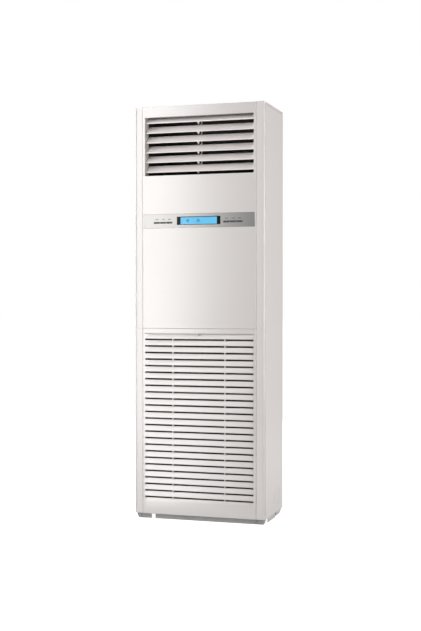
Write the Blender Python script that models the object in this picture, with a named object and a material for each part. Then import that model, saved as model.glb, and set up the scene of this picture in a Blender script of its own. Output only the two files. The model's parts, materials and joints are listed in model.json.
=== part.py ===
"""Floor standing air conditioner: a tall, slim sheet steel cabinet with moulded front panels.

Six tilting louvre blades, joined by a link bar, fill the discharge opening at the top. Below them are
a metal control strip with a lit display, and a slatted intake grille with an air filter behind it.
Metres, +Z up. The origin is on the floor under the middle of the cabinet, and the front faces -Y.
"""

import math

import bmesh
import bpy
from mathutils import Matrix

# Cabinet
WIDTH = 0.600
DEPTH = 0.320
HEIGHT = 1.830
PLINTH_HEIGHT = 0.024
SHEET = 0.0012
FLANGE = 0.030
FOLD_RADIUS = 0.003
COVER_HEIGHT = 0.010

# Front mouldings
FACE_DEPTH = 0.0152
MOULD_WALL = 0.003
LOWER_HEIGHT = 0.8244
PILLAR_WIDTH = 0.0375
PILLAR_RADIUS = 0.008
PILLAR_EDGE_RADIUS = 0.0015
PANEL_SIDE_RADIUS = 0.004
PANEL_END_RADIUS = 0.0015
SHADOW_GROOVE_WIDTH = 0.004
SHADOW_GROOVE_DEPTH = 0.006

# Clearances
FIT = 0.0003
PIN_FIT = 0.0004
BLADE_END_GAP = 0.0055

# Louvre blades and the discharge opening round them
BLADE_COUNT = 6
BLADE_PITCH = 0.0435
BLADE_CHORD = 0.056
BLADE_THICKNESS = 0.003
BLADE_LIP = 0.004
BLADE_TILT_DEG = 37.0
BLADE_SETBACK = 0.002
OPENING_MARGIN = 0.0122
OPENING_TOP_DROP = 0.0482
FIRST_PIVOT_DROP = 0.00835
OPENING_SILL_DROP = 0.03185
PIVOT_PIN_RADIUS = 0.003
PIVOT_PIN_REACH = 0.0035

# Arm under each blade, and the upright link bar that joins the arms
ARM_X = -0.010
ARM_THICKNESS = 0.003
ARM_PIN_REACH = 0.040
ARM_PIN_DROP = 0.008
ARM_END_RADIUS = 0.005
ARM_WEB_DROP = 0.022
ARM_WEB_SETBACK = 0.0135
LINK_THICKNESS = 0.003
LINK_WIDTH = 0.010
LINK_PIN_RADIUS = 0.002
LINK_HEAD_RADIUS = 0.003
LINK_HEAD_THICKNESS = 0.0014

# Discharge duct behind the blades
DUCT_WALL = 0.004
DUCT_ROOF_CLEARANCE = 0.010
DUCT_BACK_MARGIN = 0.0695
DUCT_FLOOR_STEP = 0.002
DUCT_BACK_RADIUS = 0.080

# Control strip
STRIP_MARGIN = 0.0067
STRIP_HEIGHT = 0.0623
STRIP_DROP = 0.2015
STRIP_WALL = 0.0016
STRIP_RECESS = 0.004
DISPLAY_WIDTH = 0.200
DISPLAY_HEIGHT = 0.036
DISPLAY_END_BAND = 0.016
DISPLAY_EDGE_BAND = 0.0022
DISPLAY_THICKNESS = 0.0034
LCD_RECESS = 0.0008
KEY_COUNT = 3
KEY_SHARE = 0.55
KEY_GAP = 0.002
KEY_HEIGHT = 0.006
KEY_GROUP_GAP = 0.01925
KEY_DROP = 0.0095
KEY_MAT_MARGIN = 0.006
KEY_MAT_THICKNESS = 0.0012

# Intake grille
SLOT_COUNT = 25
SLOT_HEIGHT = 0.008
SLOT_MARGIN = 0.0122
TOP_RECESS_DROP = 0.0200
BOTTOM_BAND = 0.0452
FIN_LIP = 0.0042
FIN_RECESS = 0.008
FIN_END_TAPER_TOP = 0.024
FIN_END_TAPER_BOTTOM = 0.011
FIN_DEPTH = 0.014
RIB_SHARE = 0.48
RIB_WIDTH = 0.004
SCREW_DROP = 0.0255
SCREW_HEAD_RADIUS = 0.0042
SCREW_HEAD_HEIGHT = 0.002
SCREW_SHANK_RADIUS = 0.0018
BOSS_RADIUS = 0.0065
BOSS_SETBACK = 0.002

# Air filter
FILTER_MARGIN = 0.006
FILTER_THICKNESS = 0.006
FILTER_BAR = 0.010
FILTER_COLUMNS = 4
FILTER_ROWS = 6
FILTER_CLOTH = 0.0008

# Back panel
BACK_DEPTH = 0.012
BEAD_COUNT = 6
BEAD_HEIGHT = 0.036
BEAD_DEPTH = 0.004

# Pipe knock-outs pressed in the side panels
KNOCKOUT_WIDTH = 0.105
KNOCKOUT_HEIGHT = 0.068
KNOCKOUT_FROM_BACK = 0.107
KNOCKOUT_RISE = 0.068
KNOCKOUT_GROOVE = 0.004
KNOCKOUT_GROOVE_DEPTH = 0.0006

# Base
PAN_HEIGHT = 0.030
FOOT_WIDTH = 0.048
FOOT_FRONT_LENGTH = 0.026
FOOT_REAR_LENGTH = 0.096
FOOT_SIDE_INSET = 0.004
FOOT_FRONT_INSET = 0.012
FOOT_REAR_INSET = 0.004
FOOT_TAPER = 0.007
FOOT_POCKET = 0.0025
RAIL_THICKNESS = 0.003
RAIL_FLANGE = 0.018
RAIL_FLOOR_GAP = 0.001
RAIL_JOINT_GAP = 0.005
SIDE_RAIL_FRONT_GAP = 0.038
SIDE_RAIL_REAR_GAP = 0.025
KICK_NOTCH_FROM_END = 0.027
KICK_NOTCH_WIDTH = 0.019

# Places that follow from the sizes above
FRONT_Y = -DEPTH / 2
BACK_Y = DEPTH / 2
FACE_BACK_Y = FRONT_Y + FACE_DEPTH
BODY_FRONT_Y = FACE_BACK_Y + FIT
SEAM_Z = PLINTH_HEIGHT + LOWER_HEIGHT
BODY_TOP_Z = HEIGHT - COVER_HEIGHT - FIT
PANEL_HALF_WIDTH = WIDTH / 2 - PILLAR_WIDTH - FIT
OPENING_HALF = PANEL_HALF_WIDTH - OPENING_MARGIN
OPENING_TOP = HEIGHT - OPENING_TOP_DROP
FIRST_PIVOT_Z = OPENING_TOP - FIRST_PIVOT_DROP
LAST_PIVOT_Z = FIRST_PIVOT_Z - (BLADE_COUNT - 1) * BLADE_PITCH
OPENING_BOTTOM = LAST_PIVOT_Z - OPENING_SILL_DROP
PIVOT_Y = FRONT_Y + BLADE_SETBACK + BLADE_CHORD / 2
BLADE_TILT = math.radians(BLADE_TILT_DEG)
DUCT_INNER_HALF = OPENING_HALF - DUCT_WALL / 2
DUCT_BACK_Y = BACK_Y - DUCT_BACK_MARGIN
BLADE_HALF_LENGTH = DUCT_INNER_HALF - BLADE_END_GAP
STRIP_HALF = PANEL_HALF_WIDTH - STRIP_MARGIN
STRIP_Z = OPENING_BOTTOM - STRIP_DROP
STRIP_FLOOR_Y = FRONT_Y + STRIP_RECESS
KEY_PITCH = (STRIP_HALF - DISPLAY_WIDTH / 2) * KEY_SHARE / KEY_COUNT
KEY_WIDTH = KEY_PITCH - KEY_GAP
KEY_GROUP_X = (DISPLAY_WIDTH + KEY_COUNT * KEY_PITCH - KEY_GAP) / 2 + KEY_GROUP_GAP
SLOT_HALF = PANEL_HALF_WIDTH - SLOT_MARGIN
RIB_X = RIB_SHARE * SLOT_HALF
SLOT_PITCH = (LOWER_HEIGHT - TOP_RECESS_DROP - BOTTOM_BAND) / (SLOT_COUNT + 1)
FIN_SLOPE_HEIGHT = SLOT_PITCH - SLOT_HEIGHT - FIN_LIP
FIRST_SLOT_Z = SEAM_Z - TOP_RECESS_DROP - SLOT_PITCH

CURVE_STEPS = 5


def clear_scene():
    """Remove whatever the file held before."""
    for item in list(bpy.data.objects):
        bpy.data.objects.remove(item)


def material(name, colour, roughness, metallic=0.0):
    """Return a Principled material with one plain colour."""
    made = bpy.data.materials.new(name)
    made.use_nodes = True
    shader = made.node_tree.nodes["Principled BSDF"]
    shader.inputs["Base Color"].default_value = (*colour, 1.0)
    shader.inputs["Roughness"].default_value = roughness
    shader.inputs["Metallic"].default_value = metallic
    made.diffuse_color = (*colour, 1.0)
    return made


def make_materials():
    """Return the finishes by name."""
    return {
        "moulded_white": material("moulded_white", (0.84, 0.83, 0.82), 0.35),
        "enamel": material("enamel", (0.66, 0.64, 0.62), 0.40),
        "plinth_grey": material("plinth_grey", (0.16, 0.15, 0.145), 0.55),
        "galvanised": material("galvanised", (0.55, 0.56, 0.57), 0.45, 0.9),
        "satin_silver": material("satin_silver", (0.62, 0.61, 0.60), 0.32, 0.9),
        "gloss_black": material("gloss_black", (0.012, 0.012, 0.014), 0.12),
        "lit_blue": material("lit_blue", (0.10, 0.45, 0.85), 0.20),
        "key_rubber": material("key_rubber", (0.03, 0.03, 0.03), 0.6),
        "duct_black": material("duct_black", (0.015, 0.015, 0.015), 0.7),
        "link_grey": material("link_grey", (0.45, 0.45, 0.44), 0.5),
        "filter_frame": material("filter_frame", (0.06, 0.05, 0.045), 0.6),
        "filter_cloth": material("filter_cloth", (0.03, 0.027, 0.025), 0.9),
        "screw_steel": material("screw_steel", (0.6, 0.6, 0.6), 0.3, 1.0),
    }


def arc(centre, radius, start_deg, end_deg, steps=CURVE_STEPS):
    """Return points on a circular arc in a plane, both ends included."""
    turns = [math.radians(start_deg + (end_deg - start_deg) * i / steps) for i in range(steps + 1)]
    return [(centre[0] + radius * math.cos(t), centre[1] + radius * math.sin(t)) for t in turns]


def rectangle(low_a, high_a, low_b, high_b):
    """Return a rectangular outline, counter-clockwise."""
    return [(low_a, low_b), (high_a, low_b), (high_a, high_b), (low_a, high_b)]


def rounded_rectangle(width, height, radius, steps=3):
    """Return a rectangle about the origin with arcs for corners."""
    a = width / 2 - radius
    b = height / 2 - radius
    points = []
    for (ca, cb), start in (((a, b), 0), ((-a, b), 90), ((-a, -b), 180), ((a, -b), 270)):
        points += arc((ca, cb), radius, start, start + 90, steps)
    return points


def loft(loops):
    """Return a closed solid through loops that have the same number of points, capped at both ends."""
    bm = bmesh.new()
    rings = [[bm.verts.new(point) for point in loop] for loop in loops]
    for first, second in zip(rings, rings[1:]):
        for i in range(len(first)):
            j = (i + 1) % len(first)
            bm.faces.new((first[i], first[j], second[j], second[i]))
    bm.faces.new(reversed(rings[0]))
    bm.faces.new(rings[-1])
    bmesh.ops.recalc_face_normals(bm, faces=bm.faces)
    return bm


def along(axis, outline, place):
    """Return an outline's points in space, at a place on the axis that it is extruded along."""
    if axis == "X":
        return [(place, a, b) for a, b in outline]
    if axis == "Y":
        return [(a, place, b) for a, b in outline]
    return [(a, b, place) for a, b in outline]


def prism(axis, outline, low, high):
    """Return an outline extruded along an axis. The outline is in YZ, XZ or XY, for X, Y or Z."""
    return loft([along(axis, outline, low), along(axis, outline, high)])


def box(low, high):
    """Return a plain block between two corners."""
    return prism("Z", rectangle(low[0], high[0], low[1], high[1]), low[2], high[2])


def joined(parts):
    """Return one mesh that holds several separate solids, for use as a cutter."""
    whole = bmesh.new()
    for part in parts:
        scratch = bpy.data.meshes.new("scratch")
        part.to_mesh(scratch)
        part.free()
        whole.from_mesh(scratch)
        bpy.data.meshes.remove(scratch)
    return whole


def revolve(profile, steps=24):
    """Return a solid turned about Z from (radius, height) points that start and end on the axis."""
    bm = bmesh.new()
    bottom = bm.verts.new((0.0, 0.0, profile[0][1]))
    top = bm.verts.new((0.0, 0.0, profile[-1][1]))
    rings = []
    for radius, height in profile[1:-1]:
        turns = [2 * math.pi * i / steps for i in range(steps)]
        rings.append([bm.verts.new((radius * math.cos(t), radius * math.sin(t), height)) for t in turns])
    for i in range(steps):
        j = (i + 1) % steps
        bm.faces.new((bottom, rings[0][j], rings[0][i]))
        bm.faces.new((top, rings[-1][i], rings[-1][j]))
        for first, second in zip(rings, rings[1:]):
            bm.faces.new((first[i], first[j], second[j], second[i]))
    bmesh.ops.recalc_face_normals(bm, faces=bm.faces)
    return bm


def rod(axis, centre, radius, low, high, steps=16):
    """Return a round bar along an axis, about a centre given in the plane across it."""
    outline = arc(centre, radius, 0, 360 * (steps - 1) / steps, steps - 1)
    return prism(axis, outline, low, high)


def tray(width, height, depth, wall, side_radius, end_radius, corner=0.002):
    """Return an open tray that faces -Y at y = 0, with rounded front edges and walls all round.

    The left and right edges have the side radius, and the top and bottom edges the end radius.
    """
    loops = []
    for i in range(CURVE_STEPS + 1):
        turn = math.pi / 2 * i / CURVE_STEPS
        inset_x = side_radius * (1 - math.sin(turn))
        inset_z = end_radius * (1 - math.sin(turn))
        y = side_radius * (1 - math.cos(turn))
        outline = rounded_rectangle(width - 2 * inset_x, height - 2 * inset_z, corner)
        loops.append(along("Y", outline, y))
    outer = rounded_rectangle(width, height, corner)
    inner = rounded_rectangle(width - 2 * wall, height - 2 * wall, corner / 2)
    loops += [along("Y", outer, depth), along("Y", inner, depth), along("Y", inner, wall)]
    return loft(loops)


def placed(bm, x=0.0, y=0.0, z=0.0, turn=None):
    """Return a mesh turned about the origin and then moved."""
    matrix = Matrix.Translation((x, y, z))
    if turn is not None:
        matrix = matrix @ turn
    bm.transform(matrix)
    return bm


def add_object(name, bm, finish=None):
    """Put a mesh in the scene as a named object and return it."""
    mesh = bpy.data.meshes.new(name)
    bm.to_mesh(mesh)
    bm.free()
    if finish is not None:
        mesh.materials.append(finish)
    made = bpy.data.objects.new(name, mesh)
    bpy.context.scene.collection.objects.link(made)
    return made


def combine(target, tool_mesh, operation):
    """Join a second solid to an object, or cut it away, and keep the object's own material."""
    finish = target.data.materials[0]
    tool = add_object("tool", tool_mesh)
    boolean = target.modifiers.new("shape", "BOOLEAN")
    boolean.operation = operation
    boolean.solver = "EXACT"
    boolean.object = tool
    graph = bpy.context.evaluated_depsgraph_get()
    result = bpy.data.meshes.new_from_object(target.evaluated_get(graph))
    target.modifiers.clear()
    target.data = result
    result.materials.clear()
    result.materials.append(finish)
    bpy.data.objects.remove(tool)
    return target


def add(target, tool_mesh):
    """Join a solid to an object."""
    return combine(target, tool_mesh, "UNION")


def cut(target, tool_mesh):
    """Cut a solid out of an object."""
    return combine(target, tool_mesh, "DIFFERENCE")


def smooth(target, sharp_deg=35.0):
    """Shade an object's round stretches smooth."""
    target.data.shade_smooth()
    target.data.set_sharp_from_angle(angle=math.radians(sharp_deg))
    return target


def side_turn(side):
    """Return the turn that makes a tray face +X (side 1) or -X (side -1)."""
    return Matrix.Rotation(math.radians(90 * side), 4, "Z")


def side_panel(name, side, finish):
    """Make one sheet steel side, folded back along its four edges, with a pressed pipe knock-out."""
    low_z = PLINTH_HEIGHT
    length = BACK_Y - BODY_FRONT_Y
    height = BODY_TOP_Z - low_z
    middle_y = (BACK_Y + BODY_FRONT_Y) / 2
    middle_z = low_z + height / 2
    skin = tray(length, height, FLANGE, SHEET, FOLD_RADIUS, SHEET)
    panel = add_object(name, placed(skin, side * WIDTH / 2, middle_y, middle_z, side_turn(side)), finish)

    ring_y = BACK_Y - KNOCKOUT_FROM_BACK
    ring_z = low_z + KNOCKOUT_RISE
    outer = rounded_rectangle(KNOCKOUT_WIDTH, KNOCKOUT_HEIGHT, KNOCKOUT_HEIGHT / 2 - FIT, 8)
    shrink = 2 * KNOCKOUT_GROOVE
    radius = KNOCKOUT_HEIGHT / 2 - KNOCKOUT_GROOVE - FIT
    inner = rounded_rectangle(KNOCKOUT_WIDTH - shrink, KNOCKOUT_HEIGHT - shrink, radius, 8)
    floor_x = side * (WIDTH / 2 - KNOCKOUT_GROOVE_DEPTH)
    proud_x = side * (WIDTH / 2 + KNOCKOUT_GROOVE_DEPTH)
    loops = [
        [(proud_x, ring_y + a, ring_z + b) for a, b in outer],
        [(floor_x, ring_y + a, ring_z + b) for a, b in outer],
        [(floor_x, ring_y + a, ring_z + b) for a, b in inner],
        [(proud_x, ring_y + a, ring_z + b) for a, b in inner],
    ]
    cut(panel, closed_ring(loops))
    return smooth(panel)


def closed_ring(loops):
    """Return a ring solid through four loops, the last joined back to the first."""
    bm = bmesh.new()
    rings = [[bm.verts.new(point) for point in loop] for loop in loops]
    for first, second in zip(rings, rings[1:] + rings[:1]):
        for i in range(len(first)):
            j = (i + 1) % len(first)
            bm.faces.new((first[i], first[j], second[j], second[i]))
    bmesh.ops.recalc_face_normals(bm, faces=bm.faces)
    return bm


def back_panel(finish):
    """Make the sheet steel back, with pressed stiffening beads across it and folded edges."""
    half = WIDTH / 2 - FLANGE - FIT
    fold_y = BACK_Y - BACK_DEPTH
    low_z = PLINTH_HEIGHT
    high_z = BODY_TOP_Z
    pitch = (high_z - low_z) / BEAD_COUNT
    outside = [(fold_y, low_z), (BACK_Y, low_z)]
    inside = [(fold_y, low_z + SHEET), (BACK_Y - SHEET, low_z + SHEET)]
    for i in range(BEAD_COUNT):
        middle = low_z + pitch * (i + 0.5)
        for rise, sink in (
            (-BEAD_HEIGHT / 2, 0.0),
            (-BEAD_HEIGHT / 2 + BEAD_DEPTH, BEAD_DEPTH),
            (BEAD_HEIGHT / 2 - BEAD_DEPTH, BEAD_DEPTH),
            (BEAD_HEIGHT / 2, 0.0),
        ):
            outside.append((BACK_Y - sink, middle + rise))
            inside.append((BACK_Y - sink - SHEET, middle + rise))
    outside += [(BACK_Y, high_z), (fold_y, high_z)]
    inside += [(BACK_Y - SHEET, high_z - SHEET), (fold_y, high_z - SHEET)]
    web = half - SHEET / 2
    panel = add_object("back_panel", prism("X", outside + inside[::-1], -web, web), finish)
    for side in (-1, 1):
        low_x, high_x = sorted((side * half, side * (half - SHEET)))
        low = (low_x, fold_y + SHEET / 2, low_z + SHEET / 2)
        high = (high_x, BACK_Y - SHEET / 2, high_z - SHEET / 2)
        add(panel, box(low, high))
    return panel


def top_cover(finish):
    """Make the top cover, a shallow folded tray that sits on the side and back panels."""
    length = BACK_Y - BODY_FRONT_Y
    cap = tray(WIDTH, length, COVER_HEIGHT, SHEET, FOLD_RADIUS, FOLD_RADIUS)
    turn = Matrix.Rotation(math.radians(-90), 4, "X")
    cap = placed(cap, 0.0, (BACK_Y + BODY_FRONT_Y) / 2, HEIGHT, turn)
    return smooth(add_object("top_cover", cap, finish))


def pillar(name, side, low_z, high_z, finish):
    """Make one corner pillar moulding: round outer corner, shadow groove behind it, hollow back."""
    inner_x = WIDTH / 2 - PILLAR_WIDTH
    outer_x = WIDTH / 2
    groove_y = FACE_BACK_Y - SHADOW_GROOVE_WIDTH
    corner = (outer_x - PILLAR_RADIUS, FRONT_Y + PILLAR_RADIUS)
    edge = (inner_x + PILLAR_EDGE_RADIUS, FRONT_Y + PILLAR_EDGE_RADIUS)
    outline = arc(edge, PILLAR_EDGE_RADIUS, 180, 270, 3)
    outline += arc(corner, PILLAR_RADIUS, 270, 360, 7)
    outline += [
        (outer_x, groove_y),
        (outer_x - SHADOW_GROOVE_DEPTH, groove_y),
        (outer_x - SHADOW_GROOVE_DEPTH, FACE_BACK_Y),
        (inner_x, FACE_BACK_Y),
    ]
    outline = [(side * x, y) for x, y in outline]
    post = add_object(name, prism("Z", outline, low_z, high_z), finish)
    pocket_x = sorted((side * (inner_x + MOULD_WALL), side * (outer_x - PILLAR_RADIUS - MOULD_WALL)))
    pocket = box(
        (pocket_x[0], FRONT_Y + MOULD_WALL, low_z + MOULD_WALL),
        (pocket_x[1], FACE_BACK_Y + MOULD_WALL, high_z - MOULD_WALL),
    )
    return smooth(cut(post, pocket))


def upper_front_panel(finish):
    """Make the upper front moulding, with its discharge opening and the recess for the strip."""
    low_z = SEAM_Z + FIT / 2
    height = HEIGHT - low_z
    skin = tray(2 * PANEL_HALF_WIDTH, height, FACE_DEPTH, MOULD_WALL, PANEL_SIDE_RADIUS, PANEL_END_RADIUS)
    skin = placed(skin, 0.0, FRONT_Y, low_z + height / 2)
    panel = add_object("upper_front_panel", skin, finish)

    root_y = FRONT_Y + MOULD_WALL / 2
    half = OPENING_HALF
    collar = box(
        (-half - MOULD_WALL, root_y, OPENING_BOTTOM - MOULD_WALL),
        (half + MOULD_WALL, FACE_BACK_Y, OPENING_TOP + MOULD_WALL),
    )
    add(panel, collar)
    opening = rounded_rectangle(2 * OPENING_HALF, OPENING_TOP - OPENING_BOTTOM, 0.003)
    middle = (OPENING_TOP + OPENING_BOTTOM) / 2
    opening = [(x, middle + z) for x, z in opening]
    cut(panel, prism("Y", opening, FRONT_Y - MOULD_WALL, FACE_BACK_Y + MOULD_WALL))

    half = STRIP_HALF + FIT
    rise = STRIP_HEIGHT / 2 + FIT
    pocket_back = box(
        (-half - MOULD_WALL / 2, root_y, STRIP_Z - rise - MOULD_WALL),
        (half + MOULD_WALL / 2, STRIP_FLOOR_Y + MOULD_WALL, STRIP_Z + rise + MOULD_WALL),
    )
    add(panel, pocket_back)
    cut(panel, box((-half, FRONT_Y - MOULD_WALL, STRIP_Z - rise), (half, STRIP_FLOOR_Y, STRIP_Z + rise)))
    return smooth(panel)


def control_strip(finish):
    """Make the satin metal strip, with its display window and two rows of key slots."""
    depth = STRIP_RECESS - FIT
    skin = tray(2 * STRIP_HALF, STRIP_HEIGHT, depth, STRIP_WALL, 0.0006, 0.0006, 0.0015)
    strip = add_object("control_strip", placed(skin, 0.0, FRONT_Y, STRIP_Z), finish)
    half = DISPLAY_WIDTH / 2 + FIT
    rise = DISPLAY_HEIGHT / 2 + FIT
    reach = STRIP_FLOOR_Y + STRIP_WALL
    windows = [box((-half, FRONT_Y - STRIP_WALL, STRIP_Z - rise), (half, reach, STRIP_Z + rise))]
    for x in key_places():
        half = KEY_WIDTH / 2 + FIT
        rise = KEY_HEIGHT / 2 + FIT
        z = STRIP_Z - KEY_DROP
        windows.append(box((x - half, FRONT_Y - STRIP_WALL, z - rise), (x + half, reach, z + rise)))
    return smooth(cut(strip, joined(windows)))


def key_places():
    """Return the X of each key, the left group first."""
    offsets = [(i - (KEY_COUNT - 1) / 2) * KEY_PITCH for i in range(KEY_COUNT)]
    return [side * KEY_GROUP_X + offset for side in (-1, 1) for offset in offsets]


def key_mat(name, side, finish):
    """Make one rubber key mat: a thin sheet behind the strip, with its keys standing in the slots."""
    floor_y = STRIP_FLOOR_Y - FIT
    z = STRIP_Z - KEY_DROP
    half = (KEY_COUNT - 1) / 2 * KEY_PITCH + KEY_WIDTH / 2 + KEY_MAT_MARGIN
    rise = KEY_HEIGHT / 2 + KEY_MAT_MARGIN
    middle = side * KEY_GROUP_X
    sheet = box(
        (middle - half, floor_y - KEY_MAT_THICKNESS, z - rise),
        (middle + half, floor_y, z + rise),
    )
    mat = add_object(name, sheet, finish)
    keys = []
    for x in key_places():
        if x * side > 0:
            outline = rounded_rectangle(KEY_WIDTH, KEY_HEIGHT, 0.001)
            outline = [(x + a, z + b) for a, b in outline]
            keys.append(prism("Y", outline, FRONT_Y + FIT, floor_y - KEY_MAT_THICKNESS / 2))
    return smooth(add(mat, joined(keys)))


def display(finishes):
    """Make the display's black bezel and the lit panel inside it."""
    floor_y = STRIP_FLOOR_Y - FIT
    front_y = floor_y - DISPLAY_THICKNESS
    half = DISPLAY_WIDTH / 2
    rise = DISPLAY_HEIGHT / 2
    block = box((-half, front_y, STRIP_Z - rise), (half, floor_y, STRIP_Z + rise))
    bezel = add_object("display_bezel", block, finishes["gloss_black"])
    half -= DISPLAY_END_BAND
    rise -= DISPLAY_EDGE_BAND
    reach = STRIP_FLOOR_Y + STRIP_WALL
    cut(bezel, box((-half, front_y - STRIP_WALL, STRIP_Z - rise), (half, reach, STRIP_Z + rise)))
    lcd = box(
        (-half + FIT, front_y + LCD_RECESS, STRIP_Z - rise + FIT),
        (half - FIT, floor_y, STRIP_Z + rise - FIT),
    )
    add_object("display_panel", lcd, finishes["lit_blue"])


def blade_outline():
    """Return the blade's section, in chord and thickness directions, with a thick round front lip."""
    front = -BLADE_CHORD / 2
    rear = BLADE_CHORD / 2
    lip = BLADE_LIP / 2
    half = BLADE_THICKNESS / 2
    tail = BLADE_THICKNESS / 4
    outline = arc((front + lip, 0.0), lip, 90, 270, 8)
    outline += [(front + 3 * BLADE_LIP, -half), (rear - 3 * BLADE_LIP, -half)]
    outline += arc((rear - tail, 0.0), tail, -90, 90, 4)
    outline += [(rear - 3 * BLADE_LIP, half), (front + 3 * BLADE_LIP, half)]
    return outline


def arm_outline():
    """Return the arm's outline: a web from the blade's lip, tapering to a round end for the link."""
    front = -BLADE_CHORD / 2
    fall = math.degrees(math.atan2(ARM_WEB_DROP - ARM_PIN_DROP - ARM_END_RADIUS,
                                   ARM_PIN_REACH - front - ARM_WEB_SETBACK))
    outline = [
        (BLADE_CHORD / 2 - BLADE_LIP, 0.0),
        (front + BLADE_LIP / 2, 0.0),
        (front + ARM_WEB_SETBACK, -ARM_WEB_DROP),
    ]
    outline += arc((ARM_PIN_REACH, -ARM_PIN_DROP), ARM_END_RADIUS, -90 + fall, 90, 8)
    return outline


def blade_mesh(finish):
    """Make the solid that all blades share: section, arm, end pins and the link's pin and head."""
    blade = add_object("blade", prism("X", blade_outline(), -BLADE_HALF_LENGTH, BLADE_HALF_LENGTH), finish)
    arm_low = ARM_X - ARM_THICKNESS / 2
    arm_high = ARM_X + ARM_THICKNESS / 2
    add(blade, prism("X", arm_outline(), arm_low, arm_high))

    pin_end = DUCT_INNER_HALF + PIVOT_PIN_REACH
    for side in (-1, 1):
        low, high = sorted((side * (BLADE_HALF_LENGTH - 2 * PIVOT_PIN_RADIUS), side * pin_end))
        add(blade, rod("X", (0.0, 0.0), PIVOT_PIN_RADIUS, low, high))

    link_far = arm_high + FIT + LINK_THICKNESS + FIT
    centre = (ARM_PIN_REACH, -ARM_PIN_DROP)
    pin = revolve([
        (0.0, arm_low + ARM_THICKNESS / 2),
        (LINK_PIN_RADIUS, arm_low + ARM_THICKNESS / 2),
        (LINK_PIN_RADIUS, link_far),
        (LINK_HEAD_RADIUS, link_far),
        (LINK_HEAD_RADIUS - LINK_HEAD_THICKNESS / 2, link_far + LINK_HEAD_THICKNESS),
        (0.0, link_far + LINK_HEAD_THICKNESS),
    ], 16)
    turn = Matrix.Rotation(math.radians(90), 4, "Y")
    add(blade, placed(pin, 0.0, centre[0], centre[1], turn))
    mesh = blade.data
    smooth(blade)
    bpy.data.objects.remove(blade)
    return mesh


def pivot_z(index):
    """Return the height of a blade's pivot, the top blade being number 0."""
    return FIRST_PIVOT_Z - index * BLADE_PITCH


def louvers(finish):
    """Make the six blades, each with its origin on its own pivot."""
    mesh = blade_mesh(finish)
    for i in range(BLADE_COUNT):
        blade = bpy.data.objects.new(f"louver_{i + 1}", mesh)
        blade.location = (0.0, PIVOT_Y, pivot_z(i))
        blade.rotation_euler = (BLADE_TILT, 0.0, 0.0)
        bpy.context.scene.collection.objects.link(blade)


def link_pin_offset():
    """Return the link pin's place from its blade's pivot, in Y and Z, at the rest tilt."""
    y = ARM_PIN_REACH * math.cos(BLADE_TILT) + ARM_PIN_DROP * math.sin(BLADE_TILT)
    z = ARM_PIN_REACH * math.sin(BLADE_TILT) - ARM_PIN_DROP * math.cos(BLADE_TILT)
    return y, z


def link_bar(finish):
    """Make the upright bar that joins the six arms, with its origin on the top arm's pin."""
    low = ARM_X + ARM_THICKNESS / 2 + FIT
    high = low + LINK_THICKNESS
    length = (BLADE_COUNT - 1) * BLADE_PITCH
    half = LINK_WIDTH / 2
    outline = arc((0.0, 0.0), half, 0, 180, 8) + arc((0.0, -length), half, 180, 360, 8)
    bar = add_object("louver_link_bar", prism("X", outline, low, high), finish)
    radius = LINK_PIN_RADIUS + PIN_FIT
    holes = [
        rod("X", (0.0, -i * BLADE_PITCH), radius, low - FIT, high + FIT)
        for i in range(BLADE_COUNT)
    ]
    cut(bar, joined(holes))
    y, z = link_pin_offset()
    bar.location = (0.0, PIVOT_Y + y, FIRST_PIVOT_Z + z)
    return smooth(bar)


def duct_outline(offset):
    """Return the duct's section in YZ, grown outwards by an offset."""
    back = DUCT_BACK_Y + offset
    floor = OPENING_BOTTOM - DUCT_FLOOR_STEP - offset
    roof = BODY_TOP_Z - DUCT_ROOF_CLEARANCE + offset
    radius = DUCT_BACK_RADIUS + offset
    outline = [(BODY_FRONT_Y, roof), (BODY_FRONT_Y, floor)]
    outline += arc((back - radius, floor + radius), radius, 270, 360, 8)
    outline += arc((back - radius, roof - radius), radius, 0, 90, 8)
    return outline


def discharge_duct(finish):
    """Make the curved black duct behind the blades, with a bearing hole for every blade pin."""
    outer = DUCT_INNER_HALF + DUCT_WALL
    duct = add_object("discharge_duct", prism("X", duct_outline(DUCT_WALL), -outer, outer), finish)
    cavity = duct_outline(0.0)
    cavity[0] = (BODY_FRONT_Y - DUCT_WALL, cavity[0][1])
    cavity[1] = (BODY_FRONT_Y - DUCT_WALL, cavity[1][1])
    cut(duct, prism("X", cavity, -DUCT_INNER_HALF, DUCT_INNER_HALF))
    radius = PIVOT_PIN_RADIUS + PIN_FIT
    holes = []
    for i in range(BLADE_COUNT):
        for side in (-1, 1):
            low, high = sorted((side * (DUCT_INNER_HALF - DUCT_WALL), side * (outer + DUCT_WALL)))
            holes.append(rod("X", (PIVOT_Y, pivot_z(i)), radius, low, high))
    return smooth(cut(duct, joined(holes)))


def slot_z(index):
    """Return the middle height of a slot. Number 0 is the closed recess above the first slot."""
    return FIRST_SLOT_Z + (1 - index) * SLOT_PITCH


def fin_recess(index):
    """Return the cutter that slopes one fin's face back towards its top, with drafted ends."""
    top = slot_z(index) - SLOT_HEIGHT / 2
    bottom = top - FIN_SLOPE_HEIGHT
    half = SLOT_HALF
    proud_y = FRONT_Y - FIN_RECESS
    deep_y = FRONT_Y + FIN_RECESS
    bm = bmesh.new()
    for side in (-1, 1):
        bm.verts.new((side * half, FRONT_Y, top))
        bm.verts.new((side * half, proud_y, top))
        bm.verts.new((side * (half - FIN_END_TAPER_BOTTOM), FRONT_Y, bottom))
        bm.verts.new((side * (half - FIN_END_TAPER_BOTTOM), proud_y, bottom))
        bm.verts.new((side * (half - FIN_END_TAPER_TOP), deep_y, top))
    bmesh.ops.convex_hull(bm, input=bm.verts)
    bmesh.ops.dissolve_limit(bm, angle_limit=math.radians(0.5), verts=bm.verts, edges=bm.edges)
    bmesh.ops.recalc_face_normals(bm, faces=bm.faces)
    return bm


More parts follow.
